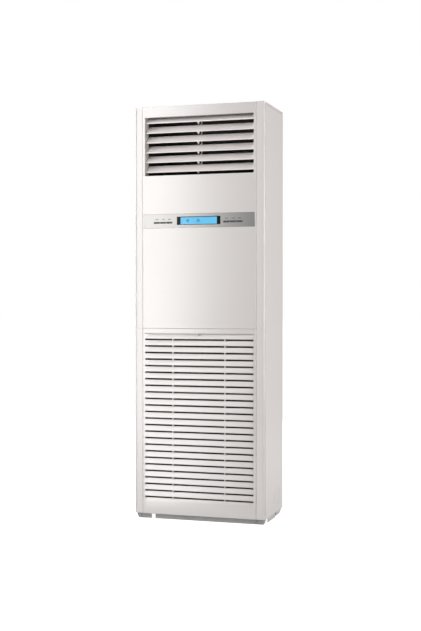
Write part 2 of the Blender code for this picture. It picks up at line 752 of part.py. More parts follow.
def slot_segments():
    """Return the low and high X of each stretch of a slot, between the upright ribs."""
    edge = RIB_WIDTH / 2
    return [
        (-SLOT_HALF, -RIB_X - edge),
        (-RIB_X + edge, RIB_X - edge),
        (RIB_X + edge, SLOT_HALF),
    ]


def slot_cutters(index):
    """Return the cutters of one slot, and of the hollow behind the fin below it."""
    top = slot_z(index) + SLOT_HEIGHT / 2
    bottom = slot_z(index) - SLOT_HEIGHT / 2
    back_y = FRONT_Y + FIN_DEPTH + MOULD_WALL
    shelf = bottom - FIN_SLOPE_HEIGHT - FIN_RECESS / 10
    upper = (FRONT_Y + FIN_RECESS + MOULD_WALL, bottom)
    lower = (FRONT_Y + MOULD_WALL, shelf)
    if index == 0:
        outline = [(back_y, bottom), upper, lower, (back_y, shelf)]
    else:
        front_y = FRONT_Y - MOULD_WALL
        outline = [(front_y, top), (front_y, bottom), upper, lower, (back_y, shelf), (back_y, top)]
    return [prism("X", outline, low, high) for low, high in slot_segments()]


def intake_grille(finish):
    """Make the intake grille in one moulding: sloped fins over open slots, upright ribs, plain band."""
    low_z = PLINTH_HEIGHT
    height = SEAM_Z - FIT / 2 - low_z
    skin = tray(2 * PANEL_HALF_WIDTH, height, FACE_DEPTH, MOULD_WALL, PANEL_SIDE_RADIUS, PANEL_END_RADIUS)
    grille = add_object("intake_grille", placed(skin, 0.0, FRONT_Y, low_z + height / 2), finish)
    half = SLOT_HALF + MOULD_WALL
    core = box(
        (-half, FRONT_Y + MOULD_WALL / 2, slot_z(SLOT_COUNT + 1) + SLOT_HEIGHT / 2),
        (half, FRONT_Y + FIN_DEPTH, slot_z(0) - SLOT_HEIGHT / 2 + MOULD_WALL),
    )
    add(grille, core)
    cut(grille, joined([fin_recess(i) for i in range(SLOT_COUNT + 1)]))
    cut(grille, joined([part for i in range(SLOT_COUNT + 1) for part in slot_cutters(i)]))

    z = SEAM_Z - SCREW_DROP
    add(grille, rod("Y", (0.0, z), BOSS_RADIUS, FRONT_Y + BOSS_SETBACK, FACE_BACK_Y, 24))
    seat_y = FRONT_Y + BOSS_SETBACK + SCREW_HEAD_HEIGHT
    cut(grille, rod("Y", (0.0, z), SCREW_HEAD_RADIUS + FIT, FRONT_Y - MOULD_WALL, seat_y, 20))
    cut(grille, rod("Y", (0.0, z), SCREW_SHANK_RADIUS + FIT, FRONT_Y - MOULD_WALL, BACK_Y, 12))
    return smooth(grille)


def grille_screw(finish):
    """Make the screw that holds the grille at the middle of its top fin."""
    seat_y = FRONT_Y + BOSS_SETBACK + SCREW_HEAD_HEIGHT - FIT
    length = FACE_BACK_Y - seat_y
    screw = revolve([
        (0.0, -length),
        (SCREW_SHANK_RADIUS, -length),
        (SCREW_SHANK_RADIUS, 0.0),
        (SCREW_HEAD_RADIUS, 0.0),
        (SCREW_HEAD_RADIUS, SCREW_HEAD_HEIGHT / 2),
        (SCREW_HEAD_RADIUS * 0.6, SCREW_HEAD_HEIGHT),
        (0.0, SCREW_HEAD_HEIGHT),
    ], 20)
    turn = Matrix.Rotation(math.radians(90), 4, "X")
    screw = placed(screw, 0.0, seat_y, SEAM_Z - SCREW_DROP, turn)
    return smooth(add_object("grille_screw", screw, finish))


def air_filter(finishes):
    """Make the filter's frame, with its lattice of bars, and the cloth on the frame's back."""
    half = SLOT_HALF - FILTER_MARGIN
    low_z = slot_z(SLOT_COUNT) - SLOT_PITCH / 2
    high_z = slot_z(1) + SLOT_PITCH / 2 - FILTER_MARGIN
    front_y = FRONT_Y + FIN_DEPTH + FIT
    back_y = front_y + FILTER_THICKNESS
    plate = box((-half, front_y, low_z), (half, back_y, high_z))
    frame = add_object("air_filter_frame", plate, finishes["filter_frame"])
    step_x = (2 * half - FILTER_BAR) / FILTER_COLUMNS
    step_z = (high_z - low_z - FILTER_BAR) / FILTER_ROWS
    windows = []
    for i in range(FILTER_COLUMNS):
        for j in range(FILTER_ROWS):
            x = -half + FILTER_BAR + i * step_x
            z = low_z + FILTER_BAR + j * step_z
            corner = (x + step_x - FILTER_BAR, back_y + FILTER_THICKNESS, z + step_z - FILTER_BAR)
            windows.append(box((x, front_y - FILTER_THICKNESS, z), corner))
    cut(frame, joined(windows))
    inset = FILTER_BAR / 2
    cloth = box(
        (-half + inset, back_y + FIT, low_z + inset),
        (half - inset, back_y + FIT + FILTER_CLOTH, high_z - inset),
    )
    add_object("air_filter_cloth", cloth, finishes["filter_cloth"])


def base_pan(finish):
    """Make the folded steel base pan between the side panels' lower flanges."""
    half = WIDTH / 2 - FLANGE - FIT
    low_y = BODY_FRONT_Y
    high_y = BACK_Y - BACK_DEPTH - FIT
    pan = tray(2 * half, high_y - low_y, PAN_HEIGHT, SHEET, SHEET, SHEET, 0.0015)
    turn = Matrix.Rotation(math.radians(90), 4, "X")
    pan = placed(pan, 0.0, (low_y + high_y) / 2, PLINTH_HEIGHT, turn)
    return add_object("base_pan", pan, finish)


def foot(name, side, front, finish):
    """Make one moulded foot: a block that tapers to the floor, with a pocket in its outer faces."""
    top_z = PLINTH_HEIGHT - FIT
    outer_x = WIDTH / 2 - FOOT_SIDE_INSET
    inner_x = outer_x - FOOT_WIDTH
    if front:
        end_y = FRONT_Y + FOOT_FRONT_INSET
        near_y = end_y + FOOT_FRONT_LENGTH
    else:
        end_y = BACK_Y - FOOT_REAR_INSET
        near_y = end_y - FOOT_REAR_LENGTH
    away = 1 if front else -1
    loops = []
    for z, taper in ((0.0, FOOT_TAPER), (top_z / 2, FOOT_TAPER / 3), (top_z, 0.0)):
        corners = [
            (side * inner_x, near_y),
            (side * (outer_x - taper), near_y),
            (side * (outer_x - taper), end_y + away * (taper + FOOT_TAPER / 2)),
            (side * (outer_x - taper - FOOT_TAPER / 2), end_y + away * taper),
            (side * inner_x, end_y + away * taper),
        ]
        loops.append([(x, y, z) for x, y in corners])
    block = add_object(name, loft(loops), finish)
    low_x, high_x = sorted((side * (inner_x + FOOT_WIDTH / 4), side * (outer_x - FOOT_WIDTH / 2)))
    low_y, high_y = sorted((end_y - away * FOOT_TAPER, end_y + away * (FOOT_TAPER / 3 + FOOT_POCKET)))
    pocket = box((low_x, low_y, top_z / 4), (high_x, high_y, top_z * 3 / 4))
    return cut(block, pocket)


def side_rail(name, side, finish):
    """Make one side rail of the base: an angle section in the space between the feet."""
    low_y = FRONT_Y + FOOT_FRONT_INSET + FOOT_FRONT_LENGTH + SIDE_RAIL_FRONT_GAP
    high_y = BACK_Y - FOOT_REAR_INSET - FOOT_REAR_LENGTH - SIDE_RAIL_REAR_GAP
    top_z = PLINTH_HEIGHT - FIT
    face = WIDTH / 2 - FOOT_SIDE_INSET - RAIL_THICKNESS
    outline = [
        (face, RAIL_FLOOR_GAP),
        (face + RAIL_THICKNESS, RAIL_FLOOR_GAP),
        (face + RAIL_THICKNESS, top_z),
        (face - RAIL_FLANGE, top_z),
        (face - RAIL_FLANGE, top_z - RAIL_THICKNESS),
        (face, top_z - RAIL_THICKNESS),
    ]
    outline = [(side * x, z) for x, z in outline]
    return add_object(name, prism("Y", outline, low_y, high_y), finish)


def cross_rail(name, end_y, away, half_low, half_high, finish):
    """Make the front or rear strip of the base: an angle section with its flange under the pan."""
    top_z = PLINTH_HEIGHT - FIT
    outline = [
        (end_y, RAIL_FLOOR_GAP),
        (end_y + away * RAIL_THICKNESS, RAIL_FLOOR_GAP),
        (end_y + away * RAIL_THICKNESS, top_z - RAIL_THICKNESS),
        (end_y + away * RAIL_FLANGE, top_z - RAIL_THICKNESS),
        (end_y + away * RAIL_FLANGE, top_z),
        (end_y, top_z),
    ]
    return add_object(name, prism("X", outline, half_low, half_high), finish)


def base_parts(finishes):
    """Make the base: pan, feet, side rails, kick plate and rear rail."""
    plinth = finishes["plinth_grey"]
    base_pan(finishes["galvanised"])
    for side, word in ((-1, "left"), (1, "right")):
        foot(f"front_{word}_foot", side, True, plinth)
        foot(f"rear_{word}_foot", side, False, plinth)
        side_rail(f"{word}_base_rail", side, plinth)
    half = WIDTH / 2 - FOOT_SIDE_INSET - FOOT_WIDTH - RAIL_JOINT_GAP
    front_y = FRONT_Y + FOOT_FRONT_INSET + FOOT_TAPER / 3
    kick = cross_rail("kick_plate", front_y, 1, -half, half, plinth)
    low_x = -half + KICK_NOTCH_FROM_END - KICK_NOTCH_WIDTH / 2
    high_z = PLINTH_HEIGHT - RAIL_THICKNESS - 2 * FIT
    cut(kick, box(
        (low_x, front_y - RAIL_THICKNESS, -RAIL_THICKNESS),
        (low_x + KICK_NOTCH_WIDTH, front_y + 2 * RAIL_THICKNESS, high_z),
    ))
    cross_rail("rear_base_rail", BACK_Y - FOOT_REAR_INSET - FOOT_TAPER / 3, -1, -half, half, plinth)


def cabinet(finishes):
    """Make the steel body and the four corner pillars."""
    for side, word in ((-1, "left"), (1, "right")):
        side_panel(f"{word}_side_panel", side, finishes["enamel"])
        pillar(f"lower_{word}_pillar", side, PLINTH_HEIGHT, SEAM_Z - FIT / 2, finishes["moulded_white"])
        pillar(f"upper_{word}_pillar", side, SEAM_Z + FIT / 2, HEIGHT, finishes["moulded_white"])
    back_panel(finishes["enamel"])
    top_cover(finishes["enamel"])


def main():
    """Build the whole air conditioner."""
    clear_scene()
    finishes = make_materials()
    base_parts(finishes)
    cabinet(finishes)
    upper_front_panel(finishes["moulded_white"])
    intake_grille(finishes["moulded_white"])
    grille_screw(finishes["screw_steel"])
    air_filter(finishes)
    control_strip(finishes["satin_silver"])
    display(finishes)
    key_mat("left_key_mat", -1, finishes["key_rubber"])
    key_mat("right_key_mat", 1, finishes["key_rubber"])
    discharge_duct(finishes["duct_black"])
    louvers(finishes["moulded_white"])
    link_bar(finishes["link_grey"])


main()
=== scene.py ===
"""Looks of a floor standing air conditioner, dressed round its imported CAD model.

The cabinet, mouldings, grille, louvres and base keep the places and sizes of their solids. Here they get
softened edges, finishes with their own grain, and the small fittings that the solids leave out.
"""

from __future__ import annotations

import json
import logging
import math
from dataclasses import dataclass, field
from enum import Enum
from functools import cached_property
from typing import Any, Callable, Iterable, Mapping, Sequence

import bmesh
import bpy
from mathutils import Matrix, Vector

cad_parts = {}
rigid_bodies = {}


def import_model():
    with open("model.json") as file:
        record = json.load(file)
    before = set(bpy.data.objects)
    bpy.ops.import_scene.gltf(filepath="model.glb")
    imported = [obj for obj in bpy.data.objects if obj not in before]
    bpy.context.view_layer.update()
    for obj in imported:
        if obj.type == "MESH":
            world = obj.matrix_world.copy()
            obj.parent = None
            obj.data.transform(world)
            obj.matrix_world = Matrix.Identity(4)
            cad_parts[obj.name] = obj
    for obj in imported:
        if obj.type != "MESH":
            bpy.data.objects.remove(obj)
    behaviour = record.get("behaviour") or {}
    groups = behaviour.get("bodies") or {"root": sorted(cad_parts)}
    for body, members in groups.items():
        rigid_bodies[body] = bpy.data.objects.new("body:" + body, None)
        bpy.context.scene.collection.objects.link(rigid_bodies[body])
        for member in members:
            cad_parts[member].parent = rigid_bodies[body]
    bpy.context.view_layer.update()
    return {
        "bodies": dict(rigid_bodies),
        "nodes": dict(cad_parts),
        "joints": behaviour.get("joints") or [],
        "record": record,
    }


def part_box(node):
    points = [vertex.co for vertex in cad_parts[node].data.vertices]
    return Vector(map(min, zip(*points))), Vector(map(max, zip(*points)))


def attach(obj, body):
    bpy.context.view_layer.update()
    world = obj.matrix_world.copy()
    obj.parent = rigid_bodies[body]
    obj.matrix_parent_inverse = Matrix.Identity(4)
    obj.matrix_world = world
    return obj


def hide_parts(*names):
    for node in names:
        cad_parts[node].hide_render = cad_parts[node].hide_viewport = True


LOG = logging.getLogger("air_conditioner")

Flat = tuple[float, float]
Point = tuple[float, float, float]
Colour = tuple[float, float, float]
Sockets = Mapping[str | int, object]

ROOT = "root"
SIDES: dict[str, int] = {"left": -1, "right": 1}
WHITE: Colour = (0.69, 0.66, 0.646)
PURE_WHITE: Colour = (1.0, 1.0, 1.0)
BLACK: Colour = (0.0, 0.0, 0.0)

# Corners closer than WELD are merged, and one within TOUCH or NEAR of a place lies on it, all in metres
WELD = 2e-6
TOUCH = 1e-6
NEAR = 1e-5

# Faces that lean less than this from one another make one flat, in degrees
FLAT_DEG = 0.6

# Values of a noise that become 0 and 1, for a strong contrast and for a softer one
STRONG: Flat = (0.35, 0.65)
SOFT: Flat = (0.3, 0.7)

# Seed of everything that Geometry Nodes turn at random
SEED = 7


class Slot(Enum):
    """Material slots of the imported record."""

    MOULDED_WHITE = "moulded_white"
    ENAMEL = "enamel"
    PLINTH_GREY = "plinth_grey"
    GALVANISED = "galvanised"
    SATIN_SILVER = "satin_silver"
    GLOSS_BLACK = "gloss_black"
    LIT_BLUE = "lit_blue"
    KEY_RUBBER = "key_rubber"
    DUCT_BLACK = "duct_black"
    LINK_GREY = "link_grey"
    FILTER_FRAME = "filter_frame"
    FILTER_CLOTH = "filter_cloth"
    SCREW_STEEL = "screw_steel"


class Axis(Enum):
    """The frame's axes, for shapes that are drawn flat and then given a length."""

    X = "X"
    Y = "Y"
    Z = "Z"

    def lift(self, place: float, outline: Iterable[Flat]) -> list[Point]:
        """Stand a flat outline up at a place on this axis.

        Args:
            place: where on the axis the outline lies.
            outline: points in YZ, XZ or XY, for X, Y or Z.

        Returns:
            The points in space.
        """
        if self is Axis.X:
            return [(place, a, b) for a, b in outline]
        if self is Axis.Y:
            return [(a, place, b) for a, b in outline]
        return [(a, b, place) for a, b in outline]


def arc(centre: Flat, radius: float, start_deg: float, end_deg: float, steps: int = 6) -> list[Flat]:
    """Draw a circular arc.

    Args:
        centre: the arc's centre.
        radius: its radius.
        start_deg: angle of its first point.
        end_deg: angle of its last point.
        steps: how many straight stretches it has.

    Returns:
        The arc's points, both ends included.
    """
    turns = [math.radians(start_deg + (end_deg - start_deg) * i / steps) for i in range(steps + 1)]
    return [(centre[0] + radius * math.cos(t), centre[1] + radius * math.sin(t)) for t in turns]


def rounded_rectangle(width: float, height: float, radius: float, steps: int = 4) -> list[Flat]:
    """Draw a rectangle about the origin with arcs for corners.

    Args:
        width: size along the first direction.
        height: size along the second direction.
        radius: corner radius.
        steps: straight stretches in each corner.

    Returns:
        The outline's points, counter-clockwise.
    """
    a = width / 2 - radius
    b = height / 2 - radius
    points: list[Flat] = []
    for (ca, cb), start in (((a, b), 0), ((-a, b), 90), ((-a, -b), 180), ((a, -b), 270)):
        points += arc((ca, cb), radius, start, start + 90, steps)
    return points


def polar(radius: Callable[[float], float], steps: int) -> list[Flat]:
    """Draw a closed outline about the origin from its radius at each angle.

    Args:
        radius: gives the radius at an angle in radians.
        steps: how many points the outline has.

    Returns:
        The outline's points, counter-clockwise.
    """
    turns = [2 * math.pi * i / steps for i in range(steps)]
    return [(radius(t) * math.cos(t), radius(t) * math.sin(t)) for t in turns]


def moved(outline: Iterable[Flat], da: float, db: float) -> list[Flat]:
    """Shift a flat outline."""
    return [(a + da, b + db) for a, b in outline]


def turned(axis: Axis, degrees: float) -> Matrix:
    """Give a turn about an axis through the origin."""
    return Matrix.Rotation(math.radians(degrees), 4, axis.value)


class Solid:
    """A closed mesh under construction, in metres in the frame's own axes."""

    def __init__(self, mesh: bmesh.types.BMesh) -> None:
        """Take over a mesh that is being built."""
        self.bm = mesh

    @classmethod
    def loft(cls, loops: Sequence[Sequence[Point]], closed: bool = False) -> Solid:
        """Skin a row of loops that have the same number of points.

        Args:
            loops: the loops, in order.
            closed: joins the last loop to the first, as on a ring, with no end caps.

        Returns:
            The solid, with its faces outwards.
        """
        bm = bmesh.new()
        rings = [[bm.verts.new(point) for point in loop] for loop in loops]
        following = rings[1:] + rings[:1] if closed else rings[1:]
        for first, second in zip(rings, following):
            for i in range(len(first)):
                j = (i + 1) % len(first)
                bm.faces.new((first[i], first[j], second[j], second[i]))
        if not closed:
            bm.faces.new(reversed(rings[0]))
            bm.faces.new(rings[-1])
        return cls(bm).outwards()

    @classmethod
    def prism(cls, axis: Axis, outline: Sequence[Flat], low: float, high: float) -> Solid:
        """Give a flat outline a length along an axis.

        Args:
            axis: the axis along which it runs.
            outline: its points across that axis.
            low: where it starts.
            high: where it ends.

        Returns:
            The solid.
        """
        return cls.loft([axis.lift(low, outline), axis.lift(high, outline)])

    @classmethod
    def box(cls, low: Point, high: Point) -> Solid:
        """Make a plain block between two corners."""
        outline = [(low[0], low[1]), (high[0], low[1]), (high[0], high[1]), (low[0], high[1])]
        return cls.prism(Axis.Z, outline, low[2], high[2])

    @classmethod
    def rod(cls, axis: Axis, centre: Flat, radius: float, low: float, high: float, steps: int = 24) -> Solid:
        """Make a round bar along an axis.

        Args:
            axis: the bar's direction.
            centre: its middle in the plane across the axis.
            radius: its radius.
            low: where it starts.
            high: where it ends.
            steps: flats round it.

        Returns:
            The solid.
        """
        return cls.prism(axis, moved(polar(lambda _: radius, steps), *centre), low, high)

    @classmethod
    def lathe(cls, profile: Sequence[Flat], steps: int = 28) -> Solid:
        """Turn a profile about the Z axis.

        Args:
            profile: (radius, height) points whose ends lie on the axis.
            steps: how many stretches the turn has.

        Returns:
            The solid.
        """
        bm = bmesh.new()
        ends = [bm.verts.new((0.0, 0.0, profile[i][1])) for i in (0, -1)]
        rings = [[bm.verts.new((a, b, height)) for a, b in polar(lambda _, r=radius: r, steps)]
                 for radius, height in profile[1:-1]]
        for i in range(steps):
            j = (i + 1) % steps
            bm.faces.new((ends[0], rings[0][j], rings[0][i]))
            bm.faces.new((ends[1], rings[-1][i], rings[-1][j]))
            for first, second in zip(rings, rings[1:]):
                bm.faces.new((first[i], first[j], second[j], second[i]))
        return cls(bm).outwards()

    @classmethod
    def merged(cls, parts: Iterable[Solid]) -> Solid:
        """Gather several separate solids in one mesh.

        Args:
            parts: the solids, which are used up.

        Returns:
            All of them as one.
        """
        whole = bmesh.new()
        for part in parts:
            scratch = part.to_mesh("scratch")
            whole.from_mesh(scratch)
            bpy.data.meshes.remove(scratch)
        return cls(whole)

    def placed(self, x: float = 0.0, y: float = 0.0, z: float = 0.0, turn: Matrix | None = None) -> Solid:
        """Turn the solid about the origin and then move it.

        Args:
            x: move along X.
            y: move along Y.
            z: move along Z.
            turn: the turn, if there is one.

        Returns:
            The same solid.
        """
        matrix = Matrix.Translation((x, y, z))
        self.bm.transform(matrix @ turn if turn is not None else matrix)
        return self

    def combined(self, tool: Solid, operation: str) -> Solid:
        """Join another solid to this one, or cut it away.

        Args:
            tool: the other solid, which is used up.
            operation: UNION or DIFFERENCE.

        Returns:
            The new solid.
        """
        carrier = scene_object("carrier", self.to_mesh("carrier"))
        other = scene_object("tool", tool.to_mesh("tool"))
        boolean = carrier.modifiers.new("shape", "BOOLEAN")
        boolean.operation = operation
        boolean.solver = "EXACT"
        boolean.object = other
        result = bmesh.new()
        mesh = baked(carrier)
        result.from_mesh(mesh)
        bpy.data.meshes.remove(mesh)
        for scratch in (carrier, other):
            bpy.data.objects.remove(scratch)
        return Solid(result)

    def cut(self, *tools: Solid) -> Solid:
        """Cut solids away from this one."""
        return self.combined(Solid.merged(tools), "DIFFERENCE")

    def outwards(self) -> Solid:
        """Turn its faces outwards."""
        bmesh.ops.recalc_face_normals(self.bm, faces=self.bm.faces)
        return self

    def welded(self) -> Solid:
        """Merge its doubles."""
        bmesh.ops.remove_doubles(self.bm, verts=self.bm.verts, dist=WELD)
        return self

    def flattened(self) -> Solid:
        """Make its flats whole again.

        Returns:
            The same solid.
        """
        limit = math.radians(FLAT_DEG)
        bmesh.ops.dissolve_limit(self.bm, angle_limit=limit, verts=self.bm.verts, edges=self.bm.edges)
        return self

    def rounded(self, chosen: Callable[[Vector], bool], radius: float, segments: int = 3) -> Solid:
        """Round the edges that have both ends at chosen corners.

        Args:
            chosen: tells whether the corner at a place is one of them.
            radius: radius of the rounding.
            segments: stretches across it.

        Returns:
            The same solid.
        """
        edges = [edge for edge in self.bm.edges if all(chosen(vert.co) for vert in edge.verts)]
        if edges:
            bmesh.ops.bevel(
                self.bm, geom=edges, offset=radius, segments=segments, profile=0.5, affect="EDGES"
            )
        return self

    def opened(self, *levels: float) -> Solid:
        """Leave out the faces that lie flat at given heights, so that it joins its neighbours.

        Args:
            levels: the heights.

        Returns:
            The same solid.
        """
        flat = [
            face for face in self.bm.faces
            if any(all(abs(vert.co.z - level) < TOUCH for vert in face.verts) for level in levels)
        ]
        bmesh.ops.delete(self.bm, geom=flat, context="FACES")
        return self

    def widened(self, end: float, reach: float) -> Solid:
        """Draw its left and right ends out along X.

        Args:
            end: how far from the middle the ends lie.
            reach: how far from it they go.

        Returns:
            The same solid.
        """
        for vert in self.bm.verts:
            if abs(abs(vert.co.x) - end) < NEAR:
                vert.co.x = math.copysign(reach, vert.co.x)
        return self

    def to_mesh(self, name: str) -> bpy.types.Mesh:
        """Write the solid to a new mesh and free it.

        Args:
            name: the mesh's name.

        Returns:
            The mesh.
        """
        mesh = bpy.data.meshes.new(name)
        self.bm.to_mesh(mesh)
        self.bm.free()
        return mesh


def scene_object(name: str, data: bpy.types.ID) -> bpy.types.Object:
    """Put data in the scene as an object.

    Args:
        name: the object's name.
        data: its mesh, curve, lamp or camera.

    Returns:
        The object, at the origin.
    """
    made = bpy.data.objects.new(name, data)
    bpy.context.scene.collection.objects.link(made)
    return made


def baked(carrier: bpy.types.Object) -> bpy.types.Mesh:
    """Evaluate an object's modifiers to a plain mesh."""
    graph = bpy.context.evaluated_depsgraph_get()
    return bpy.data.meshes.new_from_object(carrier.evaluated_get(graph), depsgraph=graph)


@dataclass(frozen=True)
class Softening:
    """Rounds the hard edges of a mesh and keeps its flats flat.

    Attributes:
        width: how far the rounding reaches from an edge.
        segments: stretches across the rounding.
        sharp_deg: edges flatter than this stay as they are.
    """

    width: float = 0.0004
    segments: int = 2
    sharp_deg: float = 28.0

    def apply(self, mesh: bpy.types.Mesh) -> bpy.types.Mesh:
        """Round a mesh's edges.

        Args:
            mesh: a mesh whose doubles are merged. It is used up.

        Returns:
            The rounded mesh.
        """
        mesh.shade_smooth()
        carrier = scene_object("soft", mesh)
        bevel = carrier.modifiers.new("rounding", "BEVEL")
        bevel.width = self.width
        bevel.segments = self.segments
        bevel.limit_method = "ANGLE"
        bevel.angle_limit = math.radians(self.sharp_deg)
        flats = carrier.modifiers.new("flats", "WEIGHTED_NORMAL")
        flats.keep_sharp = True
        result = baked(carrier)
        bpy.data.objects.remove(carrier)
        return result


class Value:
    """A node's output, which takes part in Python expressions."""

    def __init__(self, tree: NodeTree, socket: bpy.types.NodeSocket) -> None:
        """Wrap an output socket of a tree."""
        self.tree = tree
        self.socket = socket

    def maths(self, operation: str, *others: Value | float) -> Value:
        """Add a Math node."""
        return self.tree.node("ShaderNodeMath", {"operation": operation}, dict(enumerate((self, *others))))

    def __add__(self, other: Value | float) -> Value:
        """Add."""
        return self.maths("ADD", other)

    def __mul__(self, other: Value | float) -> Value:
        """Multiply."""
        return self.maths("MULTIPLY", other)

    def larger(self, other: Value | float) -> Value:
        """Take the larger of two values."""
        return self.maths("MAXIMUM", other)

    def sine(self) -> Value:
        """Take the sine."""
        return self.maths("SINE")

    def ramp(self, low: float, high: float) -> Value:
        """Rise smoothly from 0 at one value to 1 at another.

        Args:
            low: the value that gives 0.
            high: the value that gives 1.

        Returns:
            The share of the way.
        """
        sockets = {"Value": self, "From Min": low, "From Max": high}
        return self.tree.node("ShaderNodeMapRange", {"interpolation_type": "SMOOTHSTEP"}, sockets)


class NodeTree:
    """A node tree, built node by node."""

    def __init__(self, tree: bpy.types.NodeTree) -> None:
        """Work on a tree."""
        self.nodes = tree.nodes
        self.links = tree.links

    def feed(self, socket: bpy.types.NodeSocket, value: object) -> None:
        """Link an input socket to a value, or set it to a number, vector or colour.

        Args:
            socket: the input socket.
            value: what it gets.
        """
        if isinstance(value, Value):
            self.links.new(value.socket, socket)
        elif socket.type == "RGBA":
            socket.default_value = (*value[:3], 1.0)
        else:
            socket.default_value = value

    def node(
        self,
        kind: str,
        settings: Mapping[str, object] | None = None,
        sockets: Sockets | None = None,
        output: str | int = 0,
    ) -> Value:
        """Add a node.

        Args:
            kind: the node's type.
            settings: its own settings, which are set first.
            sockets: values or links of its input sockets, by name or number.
            output: the output socket that is wanted.

        Returns:
            The wanted output.
        """
        made = self.nodes.new(kind)
        for name, setting in (settings or {}).items():
            setattr(made, name, setting)
        for key, value in (sockets or {}).items():
            self.feed(made.inputs[key], value)
        return Value(self, made.outputs[output])


class ShaderTree(NodeTree):
    """The node tree of a material or of the world."""

    def __init__(self, owner: bpy.types.Material | bpy.types.World) -> None:
        """Start on the tree of a material or world."""
        owner.use_nodes = True
        super().__init__(owner.node_tree)

    @cached_property
    def place(self) -> Value:
        """Give the place on the object, in metres."""
        return self.node("ShaderNodeTexCoord", output="Object")

    def axis(self, letter: str) -> Value:
        """Give one coordinate of the place on the object."""
        return self.node("ShaderNodeSeparateXYZ", sockets={0: self.place}, output=letter)

    def stretched(self, stretch: Point) -> Value:
        """Give the place on the object with each coordinate multiplied."""
        sockets = {"Vector": self.place, "Scale": stretch}
        return self.node("ShaderNodeMapping", {"vector_type": "POINT"}, sockets)

    def noise(self, size: float, detail: float = 2.0, stretch: Point = (1.0, 1.0, 1.0)) -> Value:
        """Give a soft random pattern about 0.5.

        Args:
            size: width of its patches in metres.
            detail: how much finer the smallest patches are.
            stretch: factors on the coordinates, above 1 for finer.

        Returns:
            The pattern's value.
        """
        sockets = {"Vector": self.stretched(stretch), "Scale": 1 / size, "Detail": detail}
        return self.node("ShaderNodeTexNoise", sockets=sockets)

    def mix(self, share: Value | float, low: Value | Colour, high: Value | Colour) -> Value:
        """Blend two colours.

        Args:
            share: 0 gives the first colour and 1 the second.
            low: the first colour.
            high: the second colour.

        Returns:
            The blend.
        """
        return self.node("ShaderNodeMix", {"data_type": "RGBA"}, {0: share, 6: low, 7: high}, output=2)

    def bump(self, height: Value) -> Value:
        """Turn a height in metres into a normal."""
        return self.node("ShaderNodeBump", sockets={"Height": height, "Distance": 1.0, "Strength": 1.0})


def scaled(colour: Colour, factor: float) -> Colour:
    """Make a colour lighter or darker."""
    return (colour[0] * factor, colour[1] * factor, colour[2] * factor)


@dataclass(frozen=True)
class Finish:
    """What every finish of a surface has.

    Attributes:
        name: the material's name.
        slot: the record's slot that it belongs to.
        colour: its colour.
        roughness: its mean roughness.
        metallic: 1 for bare metal.
        coat: weight of a clear coat.
        coat_roughness: roughness of that coat.
        ior: refractive index of body and coat.
        tones: darkest and lightest shade of the colour, as shares of it.
        spread: how far the roughness varies in all.
        patch: width of the patches in which it varies.
    """

    name: str
    slot: Slot
    colour: Colour
    roughness: float
    metallic: float = 0.0
    coat: float = 0.0
    coat_roughness: float = 0.05
    ior: float = 1.5
    tones: Flat = (1.0, 1.0)
    spread: float = 0.1
    patch: float = 0.01

    @cached_property
    def material(self) -> bpy.types.Material:
        """Build the material the first time that it is needed.

        Returns:
            The material.
        """
        made = bpy.data.materials.new(self.name)
        tree = ShaderTree(made)
        shader = tree.nodes["Principled BSDF"].inputs
        shader["Metallic"].default_value = self.metallic
        shader["Coat Weight"].default_value = self.coat
        shader["Coat Roughness"].default_value = self.coat_roughness
        shader["IOR"].default_value = self.ior
        shader["Coat IOR"].default_value = self.ior
        for name, value in self.pattern(tree).items():
            tree.feed(shader[name], value)
        made.diffuse_color = (*self.colour, 1.0)
        return made

    def pattern(self, tree: ShaderTree) -> Sockets:
        """Say what each socket of the shader gets.

        Args:
            tree: the material's tree.

        Returns:
            Values by the shader's socket name.
        """
        return {"Base Color": self.colour, "Roughness": self.glossed(tree.noise(self.patch))}

    def toned(self, share: Value, colour: Colour) -> Value:
        """Vary a colour between the finish's two tones of it."""
        return share.tree.mix(share, scaled(colour, self.tones[0]), scaled(colour, self.tones[1]))

    def glossed(self, share: Value) -> Value:
        """Vary the roughness evenly about its mean."""
        return share * self.spread + (self.roughness - self.spread / 2)


@dataclass(frozen=True)
class Moulding(Finish):
    """Moulded plastic: faint flow clouds, a fine spark-eroded grain and slow sink marks.

    Attributes:
        cloud: width of the flow clouds.
        grain: width of the grain.
        depth: depth of the grain.
        wave_width: width of the slow waves.
        wave: depth of the slow waves.
        dust: how much of the dust on the lowest parts shows.
        dust_heights: where it begins and where it is full.
        dirt: colour of the dust, as a share of the finish's.
    """

    tones: Flat = (0.985, 1.015)
    spread: float = 0.03
    patch: float = 0.2
    cloud: float = 0.3
    grain: float = 0.0007
    depth: float = 0.000004
    wave_width: float = 0.25
    wave: float = 0.00003
    dust: float = 0.05
    dust_heights: Flat = (0.16, 0.02)
    dirt: float = 0.45

    def pattern(self, tree: ShaderTree) -> Sockets:
        """Say what each socket gets: clouds, grain, sink marks and dust.

        Args:
            tree: the material's tree.

        Returns:
            Values by the shader's socket name.
        """
        low = tree.axis("Z").ramp(*self.dust_heights) * self.dust
        body = self.toned(tree.noise(self.cloud, 1.0), self.colour)
        height = tree.noise(self.grain) * self.depth + tree.noise(self.wave_width, 0.0) * self.wave
        return {
            "Base Color": tree.mix(low, body, scaled(self.colour, self.dirt)),
            "Roughness": self.glossed(tree.noise(self.patch, 1.0)),
            "Normal": tree.bump(height),
        }


